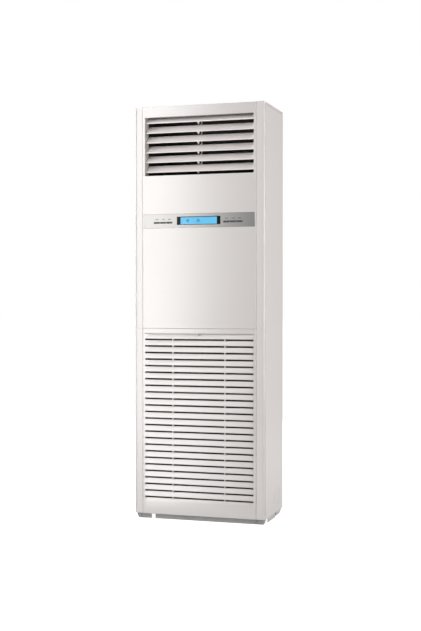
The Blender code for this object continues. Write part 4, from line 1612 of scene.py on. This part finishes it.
@dataclass
class IntakeGrille(Assembly):
    """Slatted grille in one moulding, its screw, and the filter behind it.

    Attributes:
        edge: rounding of the edges.
        slots: how many open slots there are.
        slot_height: height of a slot.
        top_drop: middle of the closed recess below the grille's top.
        bottom_band: height of the plain band at the bottom.
        lip: height of a fin's flat front lip.
        joint_share: height at which two pitches meet on that lip, as a share of the lip's.
        nose: rounding of that lip's lower edge.
        recess: how far a fin's face leans back at its top.
        slot_margin: slots from the grille's sides.
        rib_share: place of the upright ribs, as a share of the slots' half length.
        rib_width: their width.
        draft_top: draft of a recess's ends at its top.
        draft_bottom: draft at its bottom.
        wall: wall thickness.
        side_radius: rounding of the grille's side edges.
        crown: rounding of its top edge, along the seam with the upper panel.
        crown_margin: how far from its back that rounding ends.
        screw_drop: the screw's middle below the grille's top.
        boss_radius: radius of its boss.
        boss_drop: the boss's face behind the grille's.
        seat_radius: radius of the hole that its head sinks into.
        seat_depth: depth of that hole.
        blind_height: height of the blind slot at the top of the closed recess.
        blind_depth: its depth.
        overlap: how far it reaches down into the recess, so that the two join.
        wire_pitch: pitch of the filter's mesh.
        wire: thickness of its wires.
        low: the grille's lowest corner, read from its solid.
        high: its highest corner.
        half: half the length of a slot.
        pitch: pitch of the slots.
        slope: height of a fin's leaning face.
    """

    edge: Softening = Softening(0.00045, 2)
    slots: int = 25
    slot_height: float = 0.008
    top_drop: float = 0.020
    bottom_band: float = 0.0452
    lip: float = 0.0042
    joint_share: float = 0.4
    nose: float = 0.0013
    recess: float = 0.008
    slot_margin: float = 0.0122
    rib_share: float = 0.48
    rib_width: float = 0.004
    draft_top: float = 0.021
    draft_bottom: float = 0.009
    wall: float = 0.003
    side_radius: float = 0.004
    crown: float = 0.0014
    crown_margin: float = 0.002
    screw_drop: float = 0.0255
    boss_radius: float = 0.0075
    boss_drop: float = 0.002
    seat_radius: float = 0.0055
    seat_depth: float = 0.0075
    blind_height: float = 0.0032
    blind_depth: float = 0.0115
    overlap: float = 0.0001
    wire_pitch: float = 0.0032
    wire: float = 0.0006
    low: Vector = field(init=False)
    high: Vector = field(init=False)
    half: float = field(init=False)
    pitch: float = field(init=False)
    slope: float = field(init=False)

    def build(self) -> None:
        """Build and place the pieces."""
        self.low, self.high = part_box("intake_grille")
        self.half = self.high.x - self.slot_margin
        self.pitch = (self.high.z - self.low.z - self.top_drop - self.bottom_band) / (self.slots + 1)
        self.slope = self.pitch - self.slot_height - self.lip
        self.fins()
        self.screw()
        self.air_filter()

    @property
    def joint(self) -> float:
        """Give the height over a slot's top at which two pitches meet."""
        return self.lip * self.joint_share

    def outline(self) -> list[Flat]:
        """Draw the grille's section across its height: a plate with round front edges.

        Returns:
            The section's outline in XY.
        """
        a = self.high.x - self.side_radius
        b = self.low.y + self.side_radius
        points = arc((-a, b), self.side_radius, 180, 270, 6)
        points += arc((a, b), self.side_radius, 270, 360, 6)
        return points + [(self.high.x, self.high.y), (self.low.x, self.high.y)]

    def fin_face(self, top: float) -> Solid:
        """Shape the hollow over one fin: it leans back to its top and has drafted ends.

        Args:
            top: height of the hollow's top.

        Returns:
            The shape that is cut away.
        """
        front = self.low.y
        bm = bmesh.new()
        for side in (-1, 1):
            for y in (front, front - self.recess):
                bm.verts.new((side * self.half, y, top))
                bm.verts.new((side * (self.half - self.draft_bottom), y, top - self.slope))
            bm.verts.new((side * (self.half - self.draft_top), front + self.recess, top))
        bmesh.ops.convex_hull(bm, input=bm.verts)
        return Solid(bm).flattened().outwards()

    def openings(self, bottom: float, through: bool) -> list[Solid]:
        """Shape one slot between the upright ribs, and the hollow behind the fin below it.

        Args:
            bottom: height of the slot's bottom.
            through: False leaves the slot closed.

        Returns:
            The shapes that are cut away.
        """
        top = bottom + self.slot_height
        shelf = bottom - self.slope - self.recess / 10
        back = self.high.y + self.wall
        front = self.low.y
        outline = [(front + self.recess + self.wall, bottom), (front + self.wall, shelf), (back, shelf)]
        if through:
            outline += [(back, top), (front - self.wall, top), (front - self.wall, bottom)]
        else:
            outline.append((back, bottom))
        rib = self.rib_share * self.half
        edge = self.rib_width / 2
        stretches = ((-self.half, -rib - edge), (-rib + edge, rib - edge), (rib + edge, self.half))
        return [Solid.prism(Axis.X, outline, low, high) for low, high in stretches]

    def fin(self, through: bool) -> Solid:
        """Build one pitch of the grille about height 0, the top of its slot, open at both ends.

        Args:
            through: False makes the closed recess above the first slot.

        Returns:
            The mesh, whose end faces are left out so that it joins its neighbours.
        """
        block = Solid.prism(Axis.Z, self.outline(), self.joint - self.pitch, self.joint)
        block = block.cut(self.fin_face(-self.slot_height))
        block = block.cut(*self.openings(-self.slot_height, through))
        if not through:
            front = self.low.y
            block = block.cut(Solid.box(
                (-self.half, front - self.wall, -self.slot_height - self.overlap),
                (self.half, front + self.blind_depth, self.blind_height - self.slot_height),
            ))
        return block.rounded(self.on_nose, self.nose).opened(self.joint - self.pitch, self.joint)

    def on_nose(self, place: Vector) -> bool:
        """Tell whether a corner lies on the lower front edge of the lip over a slot."""
        at_front = abs(place.y - self.low.y) < TOUCH and abs(place.z) < TOUCH
        return at_front and abs(place.x) < self.half + TOUCH

    def on_crown(self, place: Vector) -> bool:
        """Tell whether a corner lies on the grille's top edge, clear of its back."""
        return abs(place.z - self.high.z) < TOUCH and place.y < self.high.y - self.crown_margin

    def fins(self) -> None:
        """Build the whole grille: two plain bands, the closed recess and the fins."""
        finish = self.palette.panel
        top = self.high.z - self.top_drop + self.slot_height / 2
        upper = top + self.joint
        lower = upper - (self.slots + 1) * self.pitch
        rows = self.shop.on_grid(
            self.fin(True), finish, start=(0.0, 0.0, top - self.pitch),
            rows=self.slots, row_step=(0.0, 0.0, -self.pitch),
        )
        whole = Solid.merged((
            Solid.prism(Axis.Z, self.outline(), upper, self.high.z).opened(upper),
            Solid.prism(Axis.Z, self.outline(), self.low.z, lower).opened(lower),
            self.fin(False).placed(z=top),
        ))
        whole.bm.from_mesh(rows)
        bpy.data.meshes.remove(rows)
        whole = self.screw_boss(whole.welded().flattened().rounded(self.on_crown, self.crown))
        mesh = self.edge.apply(whole.to_mesh("fins"))
        for vertex in mesh.vertices:
            vertex.co.y = max(vertex.co.y, self.low.y)
        self.shop.place("intake_grille_fins", mesh, finish, node="intake_grille")

    def screw_boss(self, grille: Solid) -> Solid:
        """Add the round boss for the screw, and the seat in it.

        Args:
            grille: the grille without them.

        Returns:
            The grille with them.
        """
        middle = (0.0, self.high.z - self.screw_drop)
        front = self.low.y
        boss = Solid.rod(Axis.Y, middle, self.boss_radius, front + self.boss_drop, self.high.y, 32)
        seat = Solid.rod(Axis.Y, middle, self.seat_radius, front - self.wall, front + self.seat_depth, 28)
        return grille.combined(boss, "UNION").cut(seat)

    def screw(self) -> None:
        """Build the screw at the middle of the top fin."""
        low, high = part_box("grille_screw")
        screw = CrossScrew()
        head = screw.solid().placed(y=low.y + screw.height, z=(low.z + high.z) / 2, turn=turned(Axis.X, 90))
        self.shop.place("grille_screw_head", head.to_mesh("head"), self.palette.screw, node="grille_screw")

    def air_filter(self) -> None:
        """Build the filter: its frame, the cloth, and the mesh of nylon wires before the cloth."""
        self.shop.soften("air_filter_frame", self.palette.filter_frame)
        self.shop.coat("air_filter_cloth", self.palette.filter_cloth)
        low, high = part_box("air_filter_cloth")
        width = high.x - low.x
        height = high.z - low.z
        finish = self.palette.filter_wire
        y = low.y - self.wire
        upright = Solid.box((0.0, 0.0, 0.0), (self.wire, self.wire / 2, height))
        level = Solid.box((0.0, 0.0, 0.0), (width, self.wire / 2, self.wire))
        meshes = (
            self.shop.on_grid(
                upright, finish, start=(low.x, y, low.z),
                columns=int(width / self.wire_pitch), column_step=(self.wire_pitch, 0.0, 0.0),
            ),
            self.shop.on_grid(
                level, finish, start=(low.x, y + self.wire / 2, low.z),
                rows=int(height / self.wire_pitch), row_step=(0.0, 0.0, self.wire_pitch),
            ),
        )
        for word, mesh in zip(("upright", "level"), meshes):
            self.shop.place(f"air_filter_{word}_wires", mesh, finish)


@dataclass
class ControlStrip(Assembly):
    """Metal strip with its lit display, keys and small marks.

    Attributes:
        edge: rounding of small edges.
        strip_edge: rounding of the strip's own edges.
        keys: keys in each group.
        key_pitch: their pitch.
        key_size: width and height of a key.
        key_radius: its corner radius.
        key_gap: gap round it.
        opening_radius: corner radius of the opening that it stands in.
        key_shift: the groups' middles from those of the solid key mats, along X and Z.
        mat_depth: thickness of the mat that joins the keys.
        sheet: thickness of the strip's sheet.
        mark_height: height of the printed marks.
        mark_gap: marks above the keys' middle.
        mark_corner: corner radius of the square mark and the dashes, in heights of a mark.
        triangle: radius of the triangular mark, in heights of a mark.
        dot: radius of the round mark, in heights of a mark.
        square: side of the square mark, in heights of a mark.
        dash: width and height of a dash, in heights of a mark.
        shifts: a mark's and a dash's middle from the key's, in heights of a mark.
        print_depth: thickness of print.
        symbol_size: diameter of the display's symbols.
        symbol_places: places of the symbols, as shares of the display's width.
        crystal: radius between the snow crystal's points and what the points add, as shares of the symbol's.
        fan: radius between the fan's blades and what the blades add, as such shares.
        ring: outer radius of the ring round a symbol, as a share of the symbol's.
    """

    edge: Softening = Softening(0.0003)
    strip_edge: Softening = Softening(0.00004, 1)
    keys: int = 3
    key_pitch: float = 0.0293
    key_size: Flat = (0.0274, 0.0076)
    key_radius: float = 0.001
    key_gap: float = 0.0003
    opening_radius: float = 0.0012
    key_shift: Flat = (-0.004, 0.0022)
    mat_depth: float = 0.0012
    sheet: float = 0.0016
    mark_height: float = 0.0044
    mark_gap: float = 0.0145
    mark_corner: float = 0.25
    triangle: float = 0.55
    dot: float = 0.5
    square: float = 0.9
    dash: Flat = (1.6, 0.7)
    shifts: Flat = (-0.85, 0.75)
    print_depth: float = 0.00005
    symbol_size: float = 0.014
    symbol_places: Flat = (0.2, 0.49)
    crystal: Flat = (0.45, 0.55)
    fan: Flat = (0.3, 0.62)
    ring: float = 1.14

    def build(self) -> None:
        """Build and place the pieces."""
        self.strip()
        self.shop.soften("display_bezel", self.palette.bezel, self.edge)
        self.shop.soften("display_panel", self.palette.display, self.edge)
        self.symbols()
        for word in SIDES:
            self.key_mat(word)
            self.print_marks(word)

    def key_places(self, word: str) -> list[Flat]:
        """Find the middle of each key of one group.

        Args:
            word: left or right.

        Returns:
            The keys' middles in XZ.
        """
        low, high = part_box(f"{word}_key_mat")
        x = (low.x + high.x) / 2 + self.key_shift[0]
        z = (low.z + high.z) / 2 + self.key_shift[1]
        return [(x + (i - (self.keys - 1) / 2) * self.key_pitch, z) for i in range(self.keys)]

    def strip(self) -> None:
        """Build the strip, with openings to the size of the keys in place of its plain ones."""
        low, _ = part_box("control_strip")
        solid = self.shop.cleaned("control_strip")
        back = low.y + self.sheet
        for word in SIDES:
            mat_low, mat_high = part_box(f"{word}_key_mat")
            plug = Solid.box((mat_low.x, low.y, mat_low.z), (mat_high.x, back, mat_high.z))
            solid = solid.combined(plug, "UNION")
            width, height = (size + 2 * self.key_gap for size in self.key_size)
            opening = rounded_rectangle(width, height, self.opening_radius)
            solid = solid.cut(*(
                Solid.prism(Axis.Y, moved(opening, *place), low.y - self.sheet, back + self.sheet)
                for place in self.key_places(word)
            ))
            solid = solid.cut(*(
                Solid.prism(Axis.Y, outline, low.y - self.sheet, low.y + 2 * self.print_depth)
                for outline in self.marks(word)
            ))
        self.shop.soften("control_strip", self.palette.silver, self.strip_edge, solid=solid.flattened())

    def key_mat(self, word: str) -> None:
        """Build the keys of one group on the mat that joins them.

        Args:
            word: left or right.
        """
        low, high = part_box(f"{word}_key_mat")
        places = self.key_places(word)
        back = high.y - self.mat_depth
        width, height = self.key_size
        margin = self.key_gap + self.mat_depth
        x = (places[0][0] - width / 2 - margin, places[-1][0] + width / 2 + margin)
        z = (places[0][1] - height / 2 - margin, places[0][1] + height / 2 + margin)
        parts = [Solid.box((x[0], back, z[0]), (x[1], high.y, z[1]))]
        levels = ((back, 0.0), (low.y + self.edge.width, 0.0), (low.y, self.edge.width))
        for place in places:
            loops = []
            for y, inset in levels:
                outline = rounded_rectangle(width - 2 * inset, height - 2 * inset, self.key_radius)
                loops.append(Axis.Y.lift(y, moved(outline, *place)))
            parts.append(Solid.loft(loops))
        node = f"{word}_key_mat"
        mesh = Solid.merged(parts).to_mesh("keys")
        self.shop.place(f"{node}_finished", mesh, self.palette.rubber, node=node)

    def symbols(self) -> None:
        """Draw a snow crystal and a fan on the display."""
        low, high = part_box("display_panel")
        middle = (low.z + high.z) / 2
        radius = self.symbol_size / 2
        valley, point = self.crystal
        crystal = polar(lambda t: radius * (valley + point * abs(math.cos(3 * t)) ** 3), 72)
        hub, blade = self.fan
        fan = polar(lambda t: radius * (hub + blade * (0.5 + 0.5 * math.cos(3 * t)) ** 0.8), 72)
        ring = [polar(lambda _: radius * share, 48) for share in (1.0, self.ring)]
        parts = []
        front = low.y - self.print_depth
        for outline, share in zip((crystal, fan), self.symbol_places):
            x = low.x + share * (high.x - low.x)
            parts.append(Solid.prism(Axis.Y, moved(outline, x, middle), front, low.y))
            inner, outer = (moved(loop, x, middle) for loop in ring)
            loops = ((front, outer), (low.y, outer), (low.y, inner), (front, inner))
            parts.append(Solid.loft([Axis.Y.lift(y, loop) for y, loop in loops], closed=True))
        self.shop.place("display_symbols", Solid.merged(parts).to_mesh("symbols"), self.palette.symbol)

    def marks(self, word: str) -> list[list[Flat]]:
        """Draw a small generic mark and a dash above each key of one group.

        Args:
            word: left or right.

        Returns:
            The marks' outlines in XZ.
        """
        tall = self.mark_height
        corner = tall * self.mark_corner
        triangle = polar(lambda _: tall * self.triangle, 3)
        shapes = (
            polar(lambda _: tall * self.dot, 20),
            [(b, a) for a, b in reversed(triangle)],
            rounded_rectangle(tall * self.square, tall * self.square, corner),
        )
        dash = rounded_rectangle(tall * self.dash[0], tall * self.dash[1], corner)
        outlines = []
        for (x, z), shape in zip(self.key_places(word), shapes):
            for outline, shift in zip((shape, dash), self.shifts):
                outlines.append(moved(outline, x + tall * shift, z + self.mark_gap))
        return outlines

    def print_marks(self, word: str) -> None:
        """Fill the marks of one group with ink, flush with the strip.

        Args:
            word: left or right.
        """
        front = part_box("control_strip")[0].y + self.print_depth / 2
        back = front + self.print_depth
        parts = [Solid.prism(Axis.Y, outline, front, back) for outline in self.marks(word)]
        self.shop.place(f"{word}_key_marks", Solid.merged(parts).to_mesh("marks"), self.palette.ink)


@dataclass
class Discharge(Assembly):
    """Duct, louvres, their link bar and the plates that the louvres turn in.

    Attributes:
        edge: rounding of the blades' edges.
        reach: how far a blade's ends go beyond its solid's.
        pin_length: how far its pins stand out of the solid's ends.
        solid_wall: thickness of the duct's sides in its solid.
        wall: thickness of the duct's sides, thinner so that the louvres reach nearly across the opening.
        plate_depth: how far the side plates reach back from the front mouldings.
        plate_start: how far behind the mouldings they begin.
        plate: their thickness.
        plate_gap: gap between them and the duct's sides.
        plate_margin: their ends from the duct's lower and upper end.
        plate_radius: their corner radius.
        bush_radius: radius of the bush round each pin.
        bush: how far a bush stands off the plate.
        hole_radius: radius of the pin holes.
    """

    edge: Softening = Softening(0.0004)
    reach: float = 0.0058
    pin_length: float = 0.009
    solid_wall: float = 0.004
    wall: float = 0.0016
    plate_depth: float = 0.030
    plate_start: float = 0.0005
    plate: float = 0.0007
    plate_gap: float = 0.0001
    plate_margin: float = 0.005
    plate_radius: float = 0.002
    bush_radius: float = 0.0056
    bush: float = 0.0006
    hole_radius: float = 0.0036

    def build(self) -> None:
        """Build and place the pieces."""
        self.duct()
        pivots = [j for j in self.shop.joints if j["child"].startswith("louver_")]
        for joint in pivots:
            self.louver(joint["child"])
        self.shop.soften("louver_link_bar", self.palette.link, self.edge, "link_bar")
        places = [(joint["pos_m"][1], joint["pos_m"][2]) for joint in pivots]
        for word, side in SIDES.items():
            self.side_plate(word, side, places)

    def duct(self) -> None:
        """Build the duct, its inner side faces moved out to leave a thin wall."""
        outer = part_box("discharge_duct")[1].x
        solid = self.shop.cleaned("discharge_duct").widened(outer - self.solid_wall, outer - self.wall)
        self.shop.soften("discharge_duct", self.palette.duct, self.edge, solid=solid)

    def louver(self, node: str) -> None:
        """Build one louvre, its ends drawn out towards the plates that it turns between.

        Args:
            node: its CAD node, which has the same name as its body.
        """
        solid = self.shop.cleaned(node)
        end = max(abs(vert.co.x) for vert in solid.bm.verts) - self.pin_length
        self.shop.soften(node, self.palette.blade, self.edge, node, solid.widened(end, end + self.reach))

    def side_plate(self, word: str, side: int, pivots: Sequence[Flat]) -> None:
        """Build one white plate on the duct's inner side, with a bush round each louvre's pin.

        Args:
            word: left or right.
            side: -1 or 1.
            pivots: places of the pins in YZ.
        """
        low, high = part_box("discharge_duct")
        back = side * (high.x - self.wall - self.plate_gap)
        face = back - side * self.plate
        y = (low.y + self.plate_start, low.y + self.plate_depth)
        z = (low.z + self.plate_margin, high.z - self.plate_margin)
        outline = rounded_rectangle(y[1] - y[0], z[1] - z[0], self.plate_radius)
        plate = Solid.prism(Axis.X, moved(outline, sum(y) / 2, sum(z) / 2), *sorted((back, face)))
        through = sorted((back + side * self.plate, face - side * self.plate))
        plate = plate.cut(*(Solid.rod(Axis.X, pivot, self.hole_radius, *through) for pivot in pivots))
        self.shop.place(f"{word}_louver_plate", plate.to_mesh("plate"), self.palette.pillar)
        bushes = self.shop.on_grid(
            self.bush_solid(side), self.palette.link, start=(face, *pivots[0]),
            rows=len(pivots), row_step=(0.0, 0.0, pivots[1][1] - pivots[0][1]),
        )
        self.shop.place(f"{word}_louver_bushes", bushes, self.palette.link)

    def bush_solid(self, side: int) -> Solid:
        """Build a bush about the origin: a ring that stands off the plate, sloped at its rim.

        Args:
            side: -1 or 1.

        Returns:
            The bush.
        """
        inner = polar(lambda _: self.hole_radius, 24)
        outer = polar(lambda _: self.bush_radius, 24)
        rim = polar(lambda _: self.bush_radius - self.bush / 2, 24)
        levels = ((0.0, inner), (0.0, outer), (self.bush / 2, outer), (self.bush, rim), (self.bush, inner))
        return Solid.loft([Axis.X.lift(-side * level, loop) for level, loop in levels], closed=True)


@dataclass
class Base(Assembly):
    """Base pan, feet, rails and kick plate.

    Attributes:
        edge: rounding of their edges.
        pan_edge: rounding of the pan's.
        notched: rounding of the kick plate, small because its notch ends close below its flange.
        foot_gap: gap between the kick plate's ends and the front feet.
    """

    edge: Softening = Softening(0.0006)
    pan_edge: Softening = Softening(0.0003)
    notched: Softening = Softening(0.00012)
    foot_gap: float = 0.0004

    def build(self) -> None:
        """Build and place the pieces."""
        self.shop.soften("base_pan", self.palette.zinc, self.pan_edge)
        for word in SIDES:
            self.shop.soften(f"front_{word}_foot", self.palette.plinth, self.edge)
            self.shop.soften(f"rear_{word}_foot", self.palette.rail, self.edge)
            self.shop.soften(f"{word}_base_rail", self.palette.rail, self.edge)
        self.shop.soften("rear_base_rail", self.palette.rail, self.edge)
        self.kick_plate()

    def kick_plate(self) -> None:
        """Build the kick plate, its ends drawn out to the front feet."""
        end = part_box("kick_plate")[1].x
        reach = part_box("front_right_foot")[0].x - self.foot_gap
        solid = self.shop.cleaned("kick_plate").widened(end, reach)
        self.shop.soften("kick_plate", self.palette.plinth, self.notched, solid=solid)


@dataclass(frozen=True)
class SoftBox:
    """A rectangular studio lamp.

    Attributes:
        name: its name.
        place: where it stands.
        target: what it points at.
        size: its width and height.
        radiance: how bright its face is.
        colour: its colour.
    """

    name: str
    place: Point
    target: Point
    size: Flat
    radiance: float
    colour: Colour = PURE_WHITE

    def build(self) -> None:
        """Hang the lamp."""
        data = bpy.data.lights.new(self.name, "AREA")
        data.shape = "RECTANGLE"
        data.size, data.size_y = self.size
        data.color = self.colour
        data.energy = self.radiance * self.size[0] * self.size[1] * math.pi
        lamp = scene_object(self.name, data)
        aim = Vector(self.target) - Vector(self.place)
        lamp.location = self.place
        lamp.rotation_euler = aim.to_track_quat("-Z", "Y").to_euler()
        lamp.visible_camera = False


@dataclass
class Studio:
    """White studio: the camera at the photograph's angle, soft lamps, a floor and bright surroundings.

    Attributes:
        camera_place: where the camera stands.
        camera_yaw_deg: its turn from straight ahead.
        camera_pitch_deg: its tilt.
        focal_pixels: its focal length in the photograph's pixels.
        image_size: the photograph's width and height in pixels.
        sensor_mm: width of the camera's sensor along the longer side.
        fill: light of the surroundings on the object.
        floor_size: side of the floor.
        floor_colour: colour of the floor.
        floor_lift: light that only the camera sees on the floor near the machine.
        floor_fade: distances between which that light rises to full white.
        card_width: left and right end of the dark card that the metal strip mirrors.
        card_height: its lower and upper end.
        card_y: its place before the machine.
        card_grey: its colour.
        card_mottle: how much darker parts of it are.
        card_patch: width of those parts.
        stage_roughness: roughness of the floor and the card.
        lamps: the lamps.
    """

    camera_place: Point = (1.573, -4.925, 0.978)
    camera_yaw_deg: float = 17.67
    camera_pitch_deg: float = -0.82
    focal_pixels: float = 1144.9
    image_size: tuple[int, int] = (421, 631)
    sensor_mm: float = 36.0
    fill: Colour = (0.02, 0.0195, 0.019)
    floor_size: float = 80.0
    floor_colour: Colour = (0.5, 0.5, 0.5)
    floor_lift: float = 0.85
    floor_fade: Flat = (0.7, 2.6)
    card_width: Flat = (-0.93, 0.8)
    card_height: Flat = (0.05, 2.8)
    card_y: float = -3.0
    card_grey: float = 0.045
    card_mottle: float = 0.4
    card_patch: float = 0.3
    stage_roughness: float = 0.9
    lamps: tuple[SoftBox, ...] = (
        SoftBox("key_lamp", (-1.10, -2.50, 1.41), (0.0, -0.16, 1.41), (0.5, 2.78), 5.2),
        SoftBox("left_lamp", (-2.38, -1.43, 2.1), (0.0, -0.16, 1.35), (1.7, 1.6), 5.0),
        SoftBox("front_left_lamp", (-1.94, -2.32, 2.1), (0.0, -0.16, 1.35), (0.9, 0.9), 2.5),
        SoftBox("low_lamp", (-2.2, -1.6, 0.5), (0.0, -0.16, 0.2), (1.7, 0.8), 4.6),
        SoftBox("top_lamp", (0.0, -1.8, 3.7), (0.0, -0.1, 1.3), (1.6, 1.2), 2.4, (1.0, 0.97, 0.96)),
        SoftBox("overhead_lamp", (0.0, 0.9, 4.0), (0.0, 0.3, 1.8), (1.8, 1.4), 4.0),
        SoftBox("side_lamp", (2.7, -0.4, 1.4), (0.3, -0.05, 1.2), (1.8, 2.0), 3.0, (1.0, 0.97, 0.95)),
        SoftBox("front_right_lamp", (2.75, -1.3, 1.4), (0.2, -0.1, 1.2), (1.2, 2.0), 3.5, (1.0, 0.97, 0.95)),
        SoftBox("back_lamp", (-0.9, 3.6, 2.0), (0.0, 0.16, 0.9), (2.2, 2.4), 5.0),
    )

    def build(self) -> None:
        """Set the studio up."""
        self.camera()
        self.surroundings()
        self.floor()
        self.dark_card()
        for lamp in self.lamps:
            lamp.build()

    def camera(self) -> None:
        """Stand the camera where the photograph was taken from."""
        data = bpy.data.cameras.new("camera")
        data.sensor_width = self.sensor_mm
        data.lens = self.focal_pixels / max(self.image_size) * self.sensor_mm
        camera = scene_object("camera", data)
        camera.location = self.camera_place
        camera.rotation_euler = (
            math.radians(90 + self.camera_pitch_deg), 0.0, math.radians(self.camera_yaw_deg)
        )
        bpy.context.scene.camera = camera

    def surroundings(self) -> None:
        """Make the world white to the camera and to reflections, and a soft fill to everything else."""
        world = bpy.data.worlds.new("studio")
        bpy.context.scene.world = world
        tree = ShaderTree(world)
        white = tree.mix(self.seen_directly(tree), self.fill, PURE_WHITE)
        tree.feed(tree.nodes["Background"].inputs["Color"], white)
        bpy.context.scene.view_settings.view_transform = "Standard"

    @staticmethod
    def seen_directly(tree: ShaderTree) -> Value:
        """Tell what the camera, a reflection or glass shows from light that is only cast.

        Args:
            tree: the tree that asks.

        Returns:
            1 for what is shown, and 0 for light that is cast.
        """
        seen = tree.node("ShaderNodeLightPath", output="Is Camera Ray")
        for name in ("Is Glossy Ray", "Is Transmission Ray"):
            seen = seen.larger(tree.node("ShaderNodeLightPath", output=name))
        return seen

    def floor(self) -> None:
        """Lay the floor, which keeps the machine's shadow and fades into white further off."""
        half = self.floor_size / 2
        outline = [(-half, -half), (half, -half), (half, half), (-half, half)]
        shader, tree = self.staged("floor", Axis.Z.lift(0.0, outline))
        shader["Base Color"].default_value = (*self.floor_colour, 1.0)
        seen = self.seen_directly(tree)
        settings = {"operation": "LENGTH"}
        distance = tree.node("ShaderNodeVectorMath", settings, {0: tree.place}, output="Value")
        lift = tree.mix(distance.ramp(*self.floor_fade), (self.floor_lift,) * 3, PURE_WHITE)
        tree.feed(shader["Emission Color"], tree.mix(seen, BLACK, lift))
        shader["Emission Strength"].default_value = 1.0

    def dark_card(self) -> None:
        """Stand a dark card before the machine, out of the camera's sight."""
        (left, right), (low, high) = self.card_width, self.card_height
        outline = [(left, low), (right, low), (right, high), (left, high)]
        shader, tree = self.staged("dark_card", Axis.Y.lift(self.card_y, outline))
        shade = tree.noise(self.card_patch) * self.card_mottle
        tree.feed(shader["Base Color"], tree.mix(shade, (self.card_grey,) * 3, BLACK))
        bpy.data.objects["dark_card"].visible_camera = False

    def staged(self, name: str, corners: Sequence[Point]) -> tuple[bpy.types.NodeInputs, ShaderTree]:
        """Stand a flat sheet of the stage.

        Args:
            name: its name.
            corners: its corners.

        Returns:
            The inputs of its shader, and the tree.
        """
        bm = bmesh.new()
        bm.faces.new([bm.verts.new(corner) for corner in corners])
        sheet = scene_object(name, Solid(bm).to_mesh(name))
        material = bpy.data.materials.new(name)
        tree = ShaderTree(material)
        shader = tree.nodes["Principled BSDF"].inputs
        shader["Roughness"].default_value = self.stage_roughness
        sheet.data.materials.append(material)
        return shader, tree


def main() -> None:
    """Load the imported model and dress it."""
    logging.basicConfig(level=logging.INFO, format="%(message)s")
    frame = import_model()
    Studio().build()
    shop = Workshop(frame, Palette())
    for assembly in (Cabinet, FrontMouldings, IntakeGrille, ControlStrip, Discharge, Base):
        assembly(shop).build()
        LOG.info("%s is dressed", assembly.__name__)


if __name__ == "__main__":
    main()
